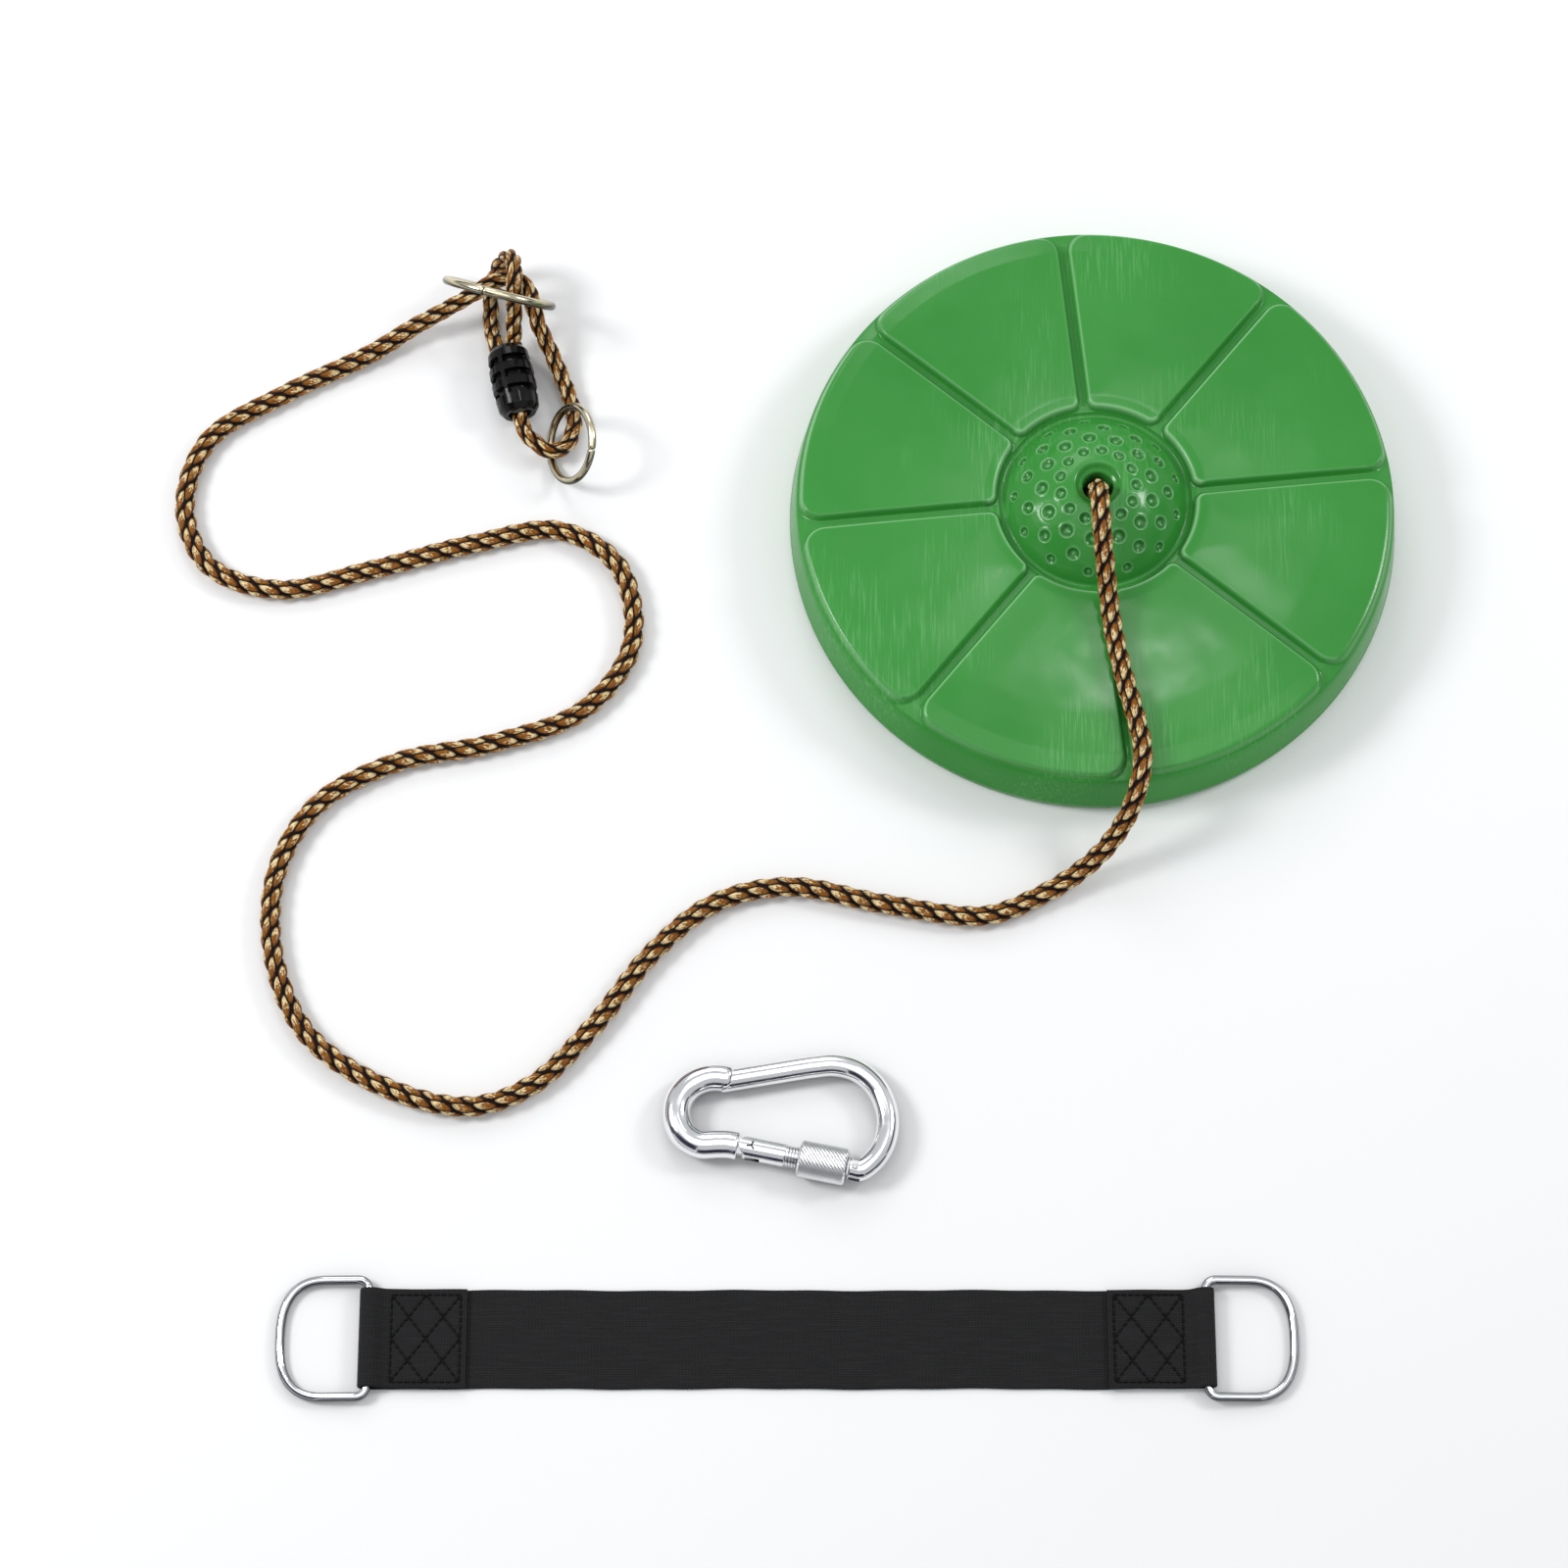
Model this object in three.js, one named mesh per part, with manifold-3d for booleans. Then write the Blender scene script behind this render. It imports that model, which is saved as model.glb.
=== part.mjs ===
// Disc swing kit: a hollow plastic disc seat on a braided rope with a ring-and-ferrule
// length adjuster, a screw-lock snap hook, and a webbing hanging strap with two D-rings.
// Millimetres, +Z up, everything laid out on the plane z = 0.
import * as THREE from 'three';
import Module from 'manifold-3d';
import { mergeVertices } from 'three/addons/utils/BufferGeometryUtils.js';

const wasm = await Module();
wasm.setup();

// ---------------------------------------------------------------- driving dimensions
const SEAT_CENTRE = [121, 149.5];
const SEAT_RADIUS = 154;
const SEAT_SEGMENTS = 48;
const PETALS = 8;
const GROOVE_ANGLE = 5.5;          // degrees from +X to the first groove
const GROOVE_WIDTH = 4.6;
const GROOVE_FLOOR = 34;
const BORE_RADIUS = 7.5;
const RECESS_HEIGHT = 22;          // roof of the knot recess under the seat

const ROPE_RADIUS = 5.2;           // loose rope
const TIGHT_RADIUS = 4.4;          // the same rope, drawn tight in the adjuster
const LOOSE_LENGTH = 1480;         // from the knot to where the rope begins to tighten
const GAP = 0.3;                   // clearance between touching pieces

const BARREL_FOOT = new THREE.Vector3(-171.4, 207, 12);
const BARREL_TOP = new THREE.Vector3(-179.2, 243.7, 12);
const TENSION_RING = { centre: [-182, 264, 36.4], radius: 27.6, wire: 2.2, turn: -15.8, lean: 26 };
const HANGING_RING = { centre: [-144.7, 188, 17.6], radius: 19, wire: 2, turn: 12.8, lean: 55 };

const HOOK_PLACE = [-38.9, -163.9, 7.8];
const HOOK_TILT = -2.83;           // degrees; the hook rests on its sleeve and its small eye
const HOOK_ROD = 5.6;
const EYE_ROD = 6.8;
const PIVOT = [-12.9, -17.3];      // gate pivot in the hook's own plane
const GATE_ANGLE = -11.5;
const GATE_RADIUS = 5.75;
const THREAD_START = 17;
const GATE_SHOULDER = 47.4;
const NOSE_START = 48.1;
const PIN_AT = 51;                 // latch pin, measured from the pivot along the gate
const SLEEVE = { start: 23.5, length: 23.5, bore: 6.0, radius: 9 };

const STRAP_CENTRE = [-34.5, -273];
const STRAP_WIDTH = 48;
const STRAP_THICKNESS = 1.8;
const BAR_OFFSET = 200;            // strap centre to the straight bar of each D-ring
const FOLD_END = 153;              // strap centre to the cut end of each folded layer
const D_WIRE = 2.2;
const D_HALF_HEIGHT = 28.3;
const D_LEG = 20;                  // length of the straight legs
const D_REACH = 22;                // from the end of the legs to the middle of the round side
const D_ROUND = 2.6;               // exponent of the round side

// ---------------------------------------------------------------- helpers
const finishes = {
  green: { color: 0x3f8f3f, roughness: 0.38, metalness: 0 },
  rope: { color: 0x9a6326, roughness: 0.45, metalness: 0 },
  black: { color: 0x141414, roughness: 0.35, metalness: 0 },
  zinc: { color: 0xd8d6cf, roughness: 0.22, metalness: 1 },
  brassy: { color: 0xb9a878, roughness: 0.3, metalness: 1 },
  webbing: { color: 0x17171a, roughness: 0.85, metalness: 0 },
  thread: { color: 0x08080a, roughness: 0.7, metalness: 0 },
};

function piece(name, geometry, finish) {
  const mesh = new THREE.Mesh(geometry, new THREE.MeshStandardMaterial(finishes[finish]));
  mesh.name = name;
  return mesh;
}

function solid(geometry) {
  const bare = geometry.clone();
  bare.deleteAttribute('normal');
  bare.deleteAttribute('uv');
  const merged = mergeVertices(bare, 1e-4);
  return new wasm.Manifold(new wasm.Mesh({
    numProp: 3,
    vertProperties: new Float32Array(merged.attributes.position.array),
    triVerts: new Uint32Array(merged.index.array),
  }));
}

function geometryOf(manifold) {
  const mesh = manifold.getMesh();
  const geometry = new THREE.BufferGeometry();
  geometry.setAttribute('position', new THREE.BufferAttribute(new Float32Array(mesh.vertProperties), 3));
  geometry.setIndex(new THREE.BufferAttribute(new Uint32Array(mesh.triVerts), 1));
  return geometry;
}

// A profile of [radius, height] pairs turned about Z; a closed loop repeats its first point.
function turned(profile, segments) {
  const points = profile.map(([r, z]) => new THREE.Vector2(r, z));
  if (THREE.ShapeUtils.area(points) < 0) points.reverse();
  return new THREE.LatheGeometry(points, segments).rotateX(Math.PI / 2);
}

function rod(radius, length, sides = 20) {
  return new THREE.CylinderGeometry(radius, radius, length, sides);
}

function block(x0, x1, y0, y1, z0, z1) {
  return new THREE.BoxGeometry(x1 - x0, y1 - y0, z1 - z0)
    .translate((x0 + x1) / 2, (y0 + y1) / 2, (z0 + z1) / 2);
}

function tube(curve, radius, sides, steps) {
  const section = new THREE.Shape();
  for (let i = 0; i < sides; i += 1) {
    const a = (2 * Math.PI * i) / sides;
    section[i ? 'lineTo' : 'moveTo'](radius * Math.cos(a), radius * Math.sin(a));
  }
  section.closePath();
  return new THREE.ExtrudeGeometry(section, { steps, extrudePath: curve, bevelEnabled: false });
}

function smooth(points) {
  return new THREE.CatmullRomCurve3(points.map((p) => new THREE.Vector3(...p)), false, 'centripetal');
}

const group = new THREE.Group();

// ---------------------------------------------------------------- seat
function seatShell() {
  const outer = [
    [BORE_RADIUS, RECESS_HEIGHT], [BORE_RADIUS, 50], [8.6, 52.4], [11, 53.3], [14, 54.3],
    [21, 52], [29, 48.2], [36, 43.3], [42, 37.8], [45.6, 33.6], [47.5, 32.8],
    [50.5, 34.6], [53.5, 37], [80, 38.2], [115, 38.2], [138, 37.4], [146, 36.2],
    [149.2, 34], [150.4, 30], [152.4, 20], [SEAT_RADIUS, 7], [SEAT_RADIUS, 3], [151, 0],
    [118, 0], [113, 4], [42, 6], [34, 20], [30, RECESS_HEIGHT], [BORE_RADIUS, RECESS_HEIGHT],
  ];
  const hollow = [
    [10.4, 25], [10.4, 47], [14, 50.6], [21, 48.6], [29, 44.6], [36, 39.6], [43, 31.5], [54, 30],
    [138, 31], [146, 29], [151, 8], [149.4, 3], [119.5, 3], [114.6, 7], [43.8, 8.8], [36, 22.8],
    [31.5, 25], [10.4, 25],
  ];
  const vent = rod(2.5, 12, 12).rotateX(Math.PI / 2).translate(70, 0, 5);
  let body = solid(turned(outer, SEAT_SEGMENTS)).subtract(solid(turned(hollow, SEAT_SEGMENTS)));
  body = body.subtract(solid(vent));
  for (let i = 0; i < PETALS; i += 1) {
    const groove = block(49, 156, -GROOVE_WIDTH / 2, GROOVE_WIDTH / 2, GROOVE_FLOOR, 45)
      .rotateZ(THREE.MathUtils.degToRad(GROOVE_ANGLE + (360 * i) / PETALS));
    body = body.subtract(solid(groove));
  }
  return geometryOf(body);
}

const seat = new THREE.Group();
seat.position.set(...SEAT_CENTRE, 0);
seat.add(piece('seat_shell', seatShell(), 'green'));

const knotProfile = [
  [0, 2.4], [6, 2.4], [10.5, 5], [12.6, 9], [12.2, 13.5], [9.5, 17.6], [6, 20], [5.4, 21.6], [0, 21.6],
];
seat.add(piece('stopper_knot', turned(knotProfile, 20), 'rope'));
group.add(seat);

// ---------------------------------------------------------------- rope
// Up through the seat, over the hub and the rim, and along the ground to the adjuster.
const ROPE_ROUTE = [
  [121, 149.5, 22], [121, 149.5, 38], [121, 148.2, 50], [121, 143.6, 58.3], [121, 136, 63],
  [121.3, 127, 63.2], [122, 117, 60.2], [123.3, 105, 54.2], [125, 92, 47.6], [127, 76, 44],
  [131.5, 52, 43.9], [137, 29, 43.9], [140, 12, 43.6], [138.8, -1.5, 42.6], [136.5, -10, 38],
  [131.5, -20, 28.5], [123, -30, 18], [110, -40, 9.5], [90, -51.5, 5.6], [63, -61.5, 5.3], [14, -55.5, 5.3],
  [-34, -46.5, 5.3], [-70, -55, 5.3], [-100, -80, 5.3], [-130, -119.5, 5.3], [-159, -148.5, 5.3],
  [-190, -159, 5.3], [-236, -146.5, 5.3], [-270, -121, 5.3], [-287, -82, 5.3], [-287, -38, 5.3],
  [-268, -3, 5.3], [-230, 19, 5.3], [-181, 29.5, 5.3], [-137, 47, 5.3], [-113, 82, 5.3],
  [-120, 125, 5.3], [-150, 145, 5.3], [-195, 137.5, 5.3], [-245, 123.5, 5.3], [-293, 112.5, 5.3],
  [-328, 125.5, 5.3], [-342, 157, 5.3], [-332, 195, 5.3], [-292, 222.5, 5.3],
];
// Up through the tension ring, back out, round the hanging ring and into the ferrule's foot.
const ADJUSTER_ROUTE = [
  [-250, 244.5, 5.6], [-228, 257.5, 10], [-210, 264, 18.5], [-194, 270.4, 25.5],
  [-185, 276.6, 25.5], [-175.5, 278.2, 24.5], [-168, 272.5, 24.5], [-165.5, 263.5, 24],
  [-162.5, 254.5, 19], [-156.5, 243, 11.5], [-150.5, 230, 6], [-146, 218, 4.6], [-144, 207, 4.8],
  [-145.5, 197, 5.5], [-149.3, 190.3, 7.4], [-155.8, 187.6, 9.8], [-163, 191, 11.4],
  [-168.7, 197.5, 12], [-170.4, 202, 12], [-171.3, 206.3, 12],
];
// The end of the rope: out of the ferrule, round the ring and the rope in it, and back.
const EYE_ROUTE = [
  [-175, 245.4, 13.4], [-175.6, 249.6, 13.5], [-175.2, 257, 20], [-174.8, 264.5, 28],
  [-174.6, 273, 34.2], [-175, 281.5, 34.2], [-177.5, 288.6, 28.5], [-182, 290.6, 19],
  [-186, 288, 10], [-188, 281, 5.3], [-188.5, 270, 4.6], [-187.5, 258, 5],
  [-186, 252, 7.6], [-184.8, 247.8, 10], [-183.7, 243.7, 10.2],
];

// A part of a curve, by the share of its length where it starts and ends.
class Stretch extends THREE.Curve {
  constructor(curve, from, to) {
    super();
    Object.assign(this, { curve, from, to });
  }

  getPoint(t, target = new THREE.Vector3()) {
    return this.curve.getPointAt(this.from + (this.to - this.from) * t, target);
  }
}
const ropeCurve = smooth([...ROPE_ROUTE, ...ADJUSTER_ROUTE]);
ropeCurve.arcLengthDivisions = 2000;
const ropeLength = ropeCurve.getLength();
const looseRope = new Stretch(ropeCurve, 0, (LOOSE_LENGTH - GAP) / ropeLength);
const tightRope = new Stretch(ropeCurve, LOOSE_LENGTH / ropeLength, 1);
group.add(piece('rope_main', tube(looseRope, ROPE_RADIUS, 10, 190), 'rope'));
group.add(piece('rope_adjuster_loop', tube(tightRope, TIGHT_RADIUS, 8, 48), 'rope'));
group.add(piece('rope_eye', tube(smooth(EYE_ROUTE), TIGHT_RADIUS, 8, 30), 'rope'));

// ---------------------------------------------------------------- ferrule and rings
function barrel() {
  const length = BARREL_TOP.distanceTo(BARREL_FOOT);
  const profile = [
    [0, 0], [8.2, 0], [10.4, 3], [11.6, length / 2], [10.4, length - 3], [8.2, length], [0, length],
  ];
  let body = solid(turned(profile, 16));
  for (const level of [0.24, 0.47, 0.7]) {
    for (let side = 0; side < 4; side += 1) {
      const slot = block(9.8, 14, -3.2, 3.2, level * length, level * length + 4)
        .rotateZ((side * Math.PI) / 2 + Math.PI / 4);
      body = body.subtract(solid(slot));
    }
  }
  const along = BARREL_TOP.clone().sub(BARREL_FOOT).normalize();
  const geometry = geometryOf(body);
  geometry.applyQuaternion(new THREE.Quaternion().setFromUnitVectors(new THREE.Vector3(0, 0, 1), along));
  return geometry.translate(...BARREL_FOOT.toArray());
}
group.add(piece('adjuster_barrel', barrel(), 'black'));

// A wire ring in the ground plane, stood up by its lean about its own long axis, then turned.
function ring(name, { centre, radius, wire, turn, lean }, upright, finish) {
  const geometry = new THREE.TorusGeometry(radius, wire, 8, 40);
  geometry.rotateX(THREE.MathUtils.degToRad(upright ? 90 + lean : 0));
  geometry.rotateY(THREE.MathUtils.degToRad(upright ? 0 : -lean));
  geometry.rotateZ(THREE.MathUtils.degToRad(turn));
  geometry.translate(...centre);
  return piece(name, geometry, finish);
}
group.add(ring('tension_ring', TENSION_RING, true, 'brassy'));
group.add(ring('hanging_ring', HANGING_RING, false, 'brassy'));

// ---------------------------------------------------------------- snap hook
const hook = new THREE.Group();
hook.position.set(...HOOK_PLACE);
hook.rotation.x = THREE.MathUtils.degToRad(HOOK_TILT);
const gateTurn = THREE.MathUtils.degToRad(GATE_ANGLE);
const gateFrame = new THREE.Group();
gateFrame.position.set(...PIVOT, 0);
gateFrame.rotation.z = gateTurn;
hook.add(gateFrame);

// Where a point on the gate's axis lies in the hook's own plane.
function onGate(along, across = 0) {
  const x = PIVOT[0] + along * Math.cos(gateTurn) - across * Math.sin(gateTurn);
  const y = PIVOT[1] + along * Math.sin(gateTurn) + across * Math.cos(gateTurn);
  return [x, y, 0];
}

function inGateFrame(geometry) {
  return geometry.rotateZ(gateTurn).translate(...PIVOT, 0);
}

const pinLine = (radius, half, sides = 14) => rod(radius, 2 * half, sides).rotateX(Math.PI / 2);

function hookBody() {
  const bar = smooth([
    [-28, 16.9, 0], [-18, 18.6, 0], [0, 21.7, 0], [17.9, 24.6, 0], [28, 25.3, 0], [38.3, 22.4, 0],
    [47, 14.8, 0], [52, 4.5, 0], [53.2, -5, 0], [51, -15.5, 0], [46.2, -23, 0], onGate(53.5),
    onGate(51), onGate(NOSE_START),
  ]);
  const eye = smooth([
    [-22.5, 17.8, 0], [-28, 18.9, 0], [-34.5, 18.6, 0], [-42.6, 14.8, 0], [-48, 7.4, 0], [-49, -2, 0],
    [-45.4, -10.4, 0], [-38, -15, 0], [-29.5, -15, 0], onGate(-11), onGate(-6.3),
  ]);
  let body = solid(tube(bar, HOOK_ROD, 12, 34)).add(solid(tube(eye, EYE_ROD, 12, 26)));
  // hinge tongue: a flat lug with a round end, flattened where the plunger bears on it
  let lug = solid(pinLine(4, 1.9, 20));
  lug = lug.add(solid(block(-9, 0, -4, 4, -1.9, 1.9)));
  lug = lug.subtract(solid(block(3.2, 6, -5, 5, -3, 3)));
  lug = lug.subtract(solid(pinLine(1.9, 4)));
  const place = (m) => solid(inGateFrame(geometryOf(m)));
  body = body.add(place(lug));
  // nose: slot for the gate's tongue and a catch open to the inside for the latch pin
  const slot = solid(block(GATE_SHOULDER, 54.2, -8, 8, -2.2, 2.2));
  const catchCut = solid(block(PIN_AT - 1.7, PIN_AT + 1.7, -1.7, 9, -9, 9));
  return geometryOf(body.subtract(place(slot)).subtract(place(catchCut)));
}
hook.add(piece('hook_body', hookBody(), 'zinc'));

function gate() {
  const profile = [
    [0, -7], [GATE_RADIUS, -7], [GATE_RADIUS, THREAD_START], [5.45, THREAD_START + 0.4],
    [5.45, GATE_SHOULDER - 0.5], [5, GATE_SHOULDER], [0, GATE_SHOULDER],
  ];
  const barrelPart = solid(turned(profile, 20).rotateY(Math.PI / 2));
  const roundEnd = solid(pinLine(GATE_RADIUS, 8, 24)).add(solid(block(0, 60, -8, 8, -8, 8)));
  let body = barrelPart.intersect(roundEnd);
  body = body.add(solid(block(GATE_SHOULDER - 2, 53.4, -3.8, 3.8, -1.8, 1.8)));
  body = body.subtract(solid(block(-9, 4.9, -8, 8, -2.3, 2.3)));
  body = body.subtract(solid(pinLine(1.9, 8)));
  body = body.subtract(solid(pinLine(1.5, 8).translate(PIN_AT, 0, 0)));
  body = body.subtract(solid(rod(2, 18, 14).rotateZ(Math.PI / 2).translate(13, 0, 0)));
  return geometryOf(body);
}
gateFrame.add(piece('gate', gate(), 'zinc'));
gateFrame.add(piece('gate_rivet', pinLine(1.6, 5.2), 'zinc'));
gateFrame.add(piece('latch_pin', pinLine(1.2, 4.4).translate(PIN_AT, 0, 0), 'zinc'));
gateFrame.add(piece('gate_plunger', rod(1.65, 8.5, 12).rotateZ(Math.PI / 2).translate(7.75, 0, 0), 'zinc'));

class Helix extends THREE.Curve {
  constructor(radius, from, to, turns) {
    super();
    Object.assign(this, { radius, from, to, turns });
  }

  getPoint(t, target = new THREE.Vector3()) {
    const a = 2 * Math.PI * this.turns * t;
    return target.set(
      this.from + (this.to - this.from) * t,
      this.radius * Math.cos(a),
      this.radius * Math.sin(a),
    );
  }
}
const SPRING_TURNS = 5;
gateFrame.add(piece('gate_spring', tube(new Helix(1.25, 13.4, 21.4, SPRING_TURNS), 0.3, 5, 60), 'zinc'));

function sleeve() {
  const { start, length, bore, radius } = SLEEVE;
  const end = start + length;
  const profile = [
    [bore, start], [radius - 0.9, start], [radius, start + 1], [radius, end - 1], [radius - 0.9, end],
    [bore, end], [bore, start],
  ];
  return turned(profile, 24).rotateY(Math.PI / 2);
}
gateFrame.add(piece('lock_sleeve', sleeve(), 'zinc'));
group.add(hook);

// ---------------------------------------------------------------- hanging strap
const LOOP_INNER = D_WIRE + 0.4;
const LOOP_OUTER = LOOP_INNER + STRAP_THICKNESS;
const TOP_LAYER = STRAP_THICKNESS + GAP;
const strap = new THREE.Group();
strap.position.set(...STRAP_CENTRE, 0);

// The webbing from its edge: one ribbon, folded up over both bars and back on itself.
function webbing() {
  const shape = new THREE.Shape();
  const seam = 10;                 // bar to where the folded layer lies flat on the other
  const bend = 4;                  // bar to where the fold leaves the bar's round
  const outerTop = 2 * LOOP_OUTER - 1.2;
  const innerTop = LOOP_OUTER + LOOP_INNER - 1.4;
  const arcSteps = 7;
  const arc = (x, radius, from, to) => {
    for (let i = 0; i <= arcSteps; i += 1) {
      const a = from + ((to - from) * i) / arcSteps;
      shape.lineTo(x + radius * Math.cos(a), LOOP_OUTER + radius * Math.sin(a));
    }
  };
  const quarter = Math.PI / 2;
  shape.moveTo(-FOLD_END, TOP_LAYER);
  shape.lineTo(-FOLD_END, TOP_LAYER + STRAP_THICKNESS);
  shape.lineTo(-BAR_OFFSET + seam, TOP_LAYER + STRAP_THICKNESS);
  shape.lineTo(-BAR_OFFSET + bend, outerTop);
  arc(-BAR_OFFSET, LOOP_OUTER, quarter, 3 * quarter);
  arc(BAR_OFFSET, LOOP_OUTER, -quarter, quarter);
  shape.lineTo(BAR_OFFSET - bend, outerTop);
  shape.lineTo(BAR_OFFSET - seam, TOP_LAYER + STRAP_THICKNESS);
  shape.lineTo(FOLD_END, TOP_LAYER + STRAP_THICKNESS);
  shape.lineTo(FOLD_END, TOP_LAYER);
  shape.lineTo(BAR_OFFSET - seam, TOP_LAYER);
  shape.lineTo(BAR_OFFSET - bend, innerTop);
  arc(BAR_OFFSET, LOOP_INNER, quarter, -quarter);
  arc(-BAR_OFFSET, LOOP_INNER, 3 * quarter, quarter);
  shape.lineTo(-BAR_OFFSET + bend, innerTop);
  shape.lineTo(-BAR_OFFSET + seam, TOP_LAYER);
  shape.closePath();
  const geometry = new THREE.ExtrudeGeometry(shape, { depth: STRAP_WIDTH, bevelEnabled: false });
  return geometry.rotateX(Math.PI / 2).translate(0, STRAP_WIDTH / 2, 0);
}
strap.add(piece('strap_webbing', webbing(), 'webbing'));

// Box-and-diamond sewing on the doubled end, one connected run of thread.
function stitching(side) {
  const [near, far, half] = [156, 189, 21.1];
  const width = 0.9;
  const low = TOP_LAYER + STRAP_THICKNESS + GAP;
  const line = (x0, y0, x1, y1) => {
    const length = Math.hypot(x1 - x0, y1 - y0) + width;
    const bar = new THREE.BoxGeometry(length, width, 0.5);
    bar.rotateZ(Math.atan2(y1 - y0, x1 - x0));
    return solid(bar.translate((x0 + x1) / 2, (y0 + y1) / 2, low + 0.25));
  };
  const middle = (near + far) / 2;
  let run = line(near, -half, near, half);
  for (const [x0, y0, x1, y1] of [
    [far, -half, far, half], [near, half, far, half], [near, -half, far, -half],
    [near, 0, middle, half], [middle, half, far, 0], [far, 0, middle, -half], [middle, -half, near, 0],
    [near, -half, far, half], [near, half, far, -half],
  ]) {
    run = run.add(line(x0, y0, x1, y1));
  }
  return geometryOf(run).rotateZ(side < 0 ? Math.PI : 0);
}
strap.add(piece('left_stitching', stitching(-1), 'thread'));
strap.add(piece('right_stitching', stitching(1), 'thread'));

// D-ring with its bar on the Y axis and its round side towards +X, leaning down to the ground.
function dRing() {
  const corner = 5;
  const leg = D_HALF_HEIGHT;
  const points = [];
  const arc = (cx, cy, radius, from, to, steps) => {
    for (let i = 0; i <= steps; i += 1) {
      const a = THREE.MathUtils.degToRad(from + ((to - from) * i) / steps);
      points.push(new THREE.Vector3(cx + radius * Math.cos(a), cy + radius * Math.sin(a), 0));
    }
  };
  arc(corner, -leg + corner, corner, 180, 270, 3);
  for (let i = 0; i <= 18; i += 1) {
    const a = (Math.PI * i) / 18 - Math.PI / 2;
    const x = Math.abs(Math.cos(a)) ** (2 / D_ROUND);
    const y = Math.sign(a) * Math.abs(Math.sin(a)) ** (2 / D_ROUND);
    points.push(new THREE.Vector3(D_LEG + D_REACH * x, leg * y, 0));
  }
  arc(corner, leg - corner, corner, 90, 180, 3);
  points.push(new THREE.Vector3());
  return closedTube(points, D_WIRE, 8);
}

// A tube of round section along a closed flat loop of points, mitred at each point.
function closedTube(points, radius, sides) {
  const positions = [];
  const index = [];
  const count = points.length;
  points.forEach((point, i) => {
    const before = points[(i + count - 1) % count];
    const after = points[(i + 1) % count];
    const a = point.clone().sub(before).normalize();
    const b = after.clone().sub(point).normalize();
    const tangent = a.clone().add(b).normalize();
    const side = new THREE.Vector3(tangent.y, -tangent.x, 0);
    const stretch = 1 / Math.max(0.5, tangent.dot(b));
    for (let k = 0; k < sides; k += 1) {
      const angle = (2 * Math.PI * k) / sides;
      const spot = point.clone().addScaledVector(side, radius * stretch * Math.cos(angle));
      positions.push(spot.x, spot.y, radius * Math.sin(angle));
    }
    for (let k = 0; k < sides; k += 1) {
      const p = i * sides + k;
      const q = i * sides + ((k + 1) % sides);
      const r = ((i + 1) % count) * sides + k;
      const s = ((i + 1) % count) * sides + ((k + 1) % sides);
      index.push(p, r, q, q, r, s);
    }
  });
  const geometry = new THREE.BufferGeometry();
  geometry.setAttribute('position', new THREE.Float32BufferAttribute(positions, 3));
  geometry.setIndex(index);
  return geometry;
}

const D_LEAN = Math.asin((LOOP_OUTER - D_WIRE - 0.05) / (D_LEG + D_REACH));
for (const [name, side] of [['left_d_ring', -1], ['right_d_ring', 1]]) {
  const geometry = dRing().rotateY(D_LEAN);
  if (side < 0) geometry.rotateZ(Math.PI);
  geometry.translate(side * BAR_OFFSET, 0, LOOP_OUTER);
  strap.add(piece(name, geometry, 'zinc'));
}
group.add(strap);

export default group;
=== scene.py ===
"""Disc swing kit: a blow-moulded disc seat on a braided rope with its ring-and-ferrule adjuster,
a screw-lock snap hook, and a webbing hanging strap with two D-rings.
"""

import math

import bpy
import numpy as np
from mathutils import Matrix, Vector


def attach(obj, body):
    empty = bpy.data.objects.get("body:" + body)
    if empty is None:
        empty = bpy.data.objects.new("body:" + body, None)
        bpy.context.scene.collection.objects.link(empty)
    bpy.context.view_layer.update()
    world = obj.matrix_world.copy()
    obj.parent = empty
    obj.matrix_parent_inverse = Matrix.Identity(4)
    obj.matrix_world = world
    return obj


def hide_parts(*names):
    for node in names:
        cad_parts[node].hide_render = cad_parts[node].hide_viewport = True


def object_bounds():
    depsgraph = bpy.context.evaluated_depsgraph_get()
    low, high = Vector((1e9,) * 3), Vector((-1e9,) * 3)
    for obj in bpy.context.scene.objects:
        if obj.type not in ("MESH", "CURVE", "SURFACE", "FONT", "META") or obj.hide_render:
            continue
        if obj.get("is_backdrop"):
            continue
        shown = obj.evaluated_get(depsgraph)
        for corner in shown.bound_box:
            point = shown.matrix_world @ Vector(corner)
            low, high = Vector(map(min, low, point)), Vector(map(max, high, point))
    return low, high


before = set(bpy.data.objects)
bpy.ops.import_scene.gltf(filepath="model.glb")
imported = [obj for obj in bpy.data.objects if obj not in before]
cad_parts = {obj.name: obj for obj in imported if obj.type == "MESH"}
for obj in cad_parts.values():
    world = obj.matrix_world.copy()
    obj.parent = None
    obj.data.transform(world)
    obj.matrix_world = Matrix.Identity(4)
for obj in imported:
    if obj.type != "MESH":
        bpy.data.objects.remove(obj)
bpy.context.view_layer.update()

MM = 0.001
TURN = 2 * math.pi

# ---------------------------------------------------------------- driving dimensions
SEAT_CENTRE = np.array([121, 149.5, 0])
PETALS = 8
GROOVE_ANGLE = 5.5  # degrees from +X to the first groove
GROOVE_HALF = 1.6
GROOVE_FLOOR = 33.9
RIM_RADIUS = 149.6  # where the petals roll over into the skirt
MOAT_RADIUS = 49.5  # where the petals begin, round the hub
BORE_RADIUS = 7.4

ROPE_RADIUS = 5.2
TIGHT_RADIUS = 4.4  # the same rope drawn tight in the adjuster
LOOSE_LENGTH = 1480  # from the knot to where the rope begins to tighten

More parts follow.
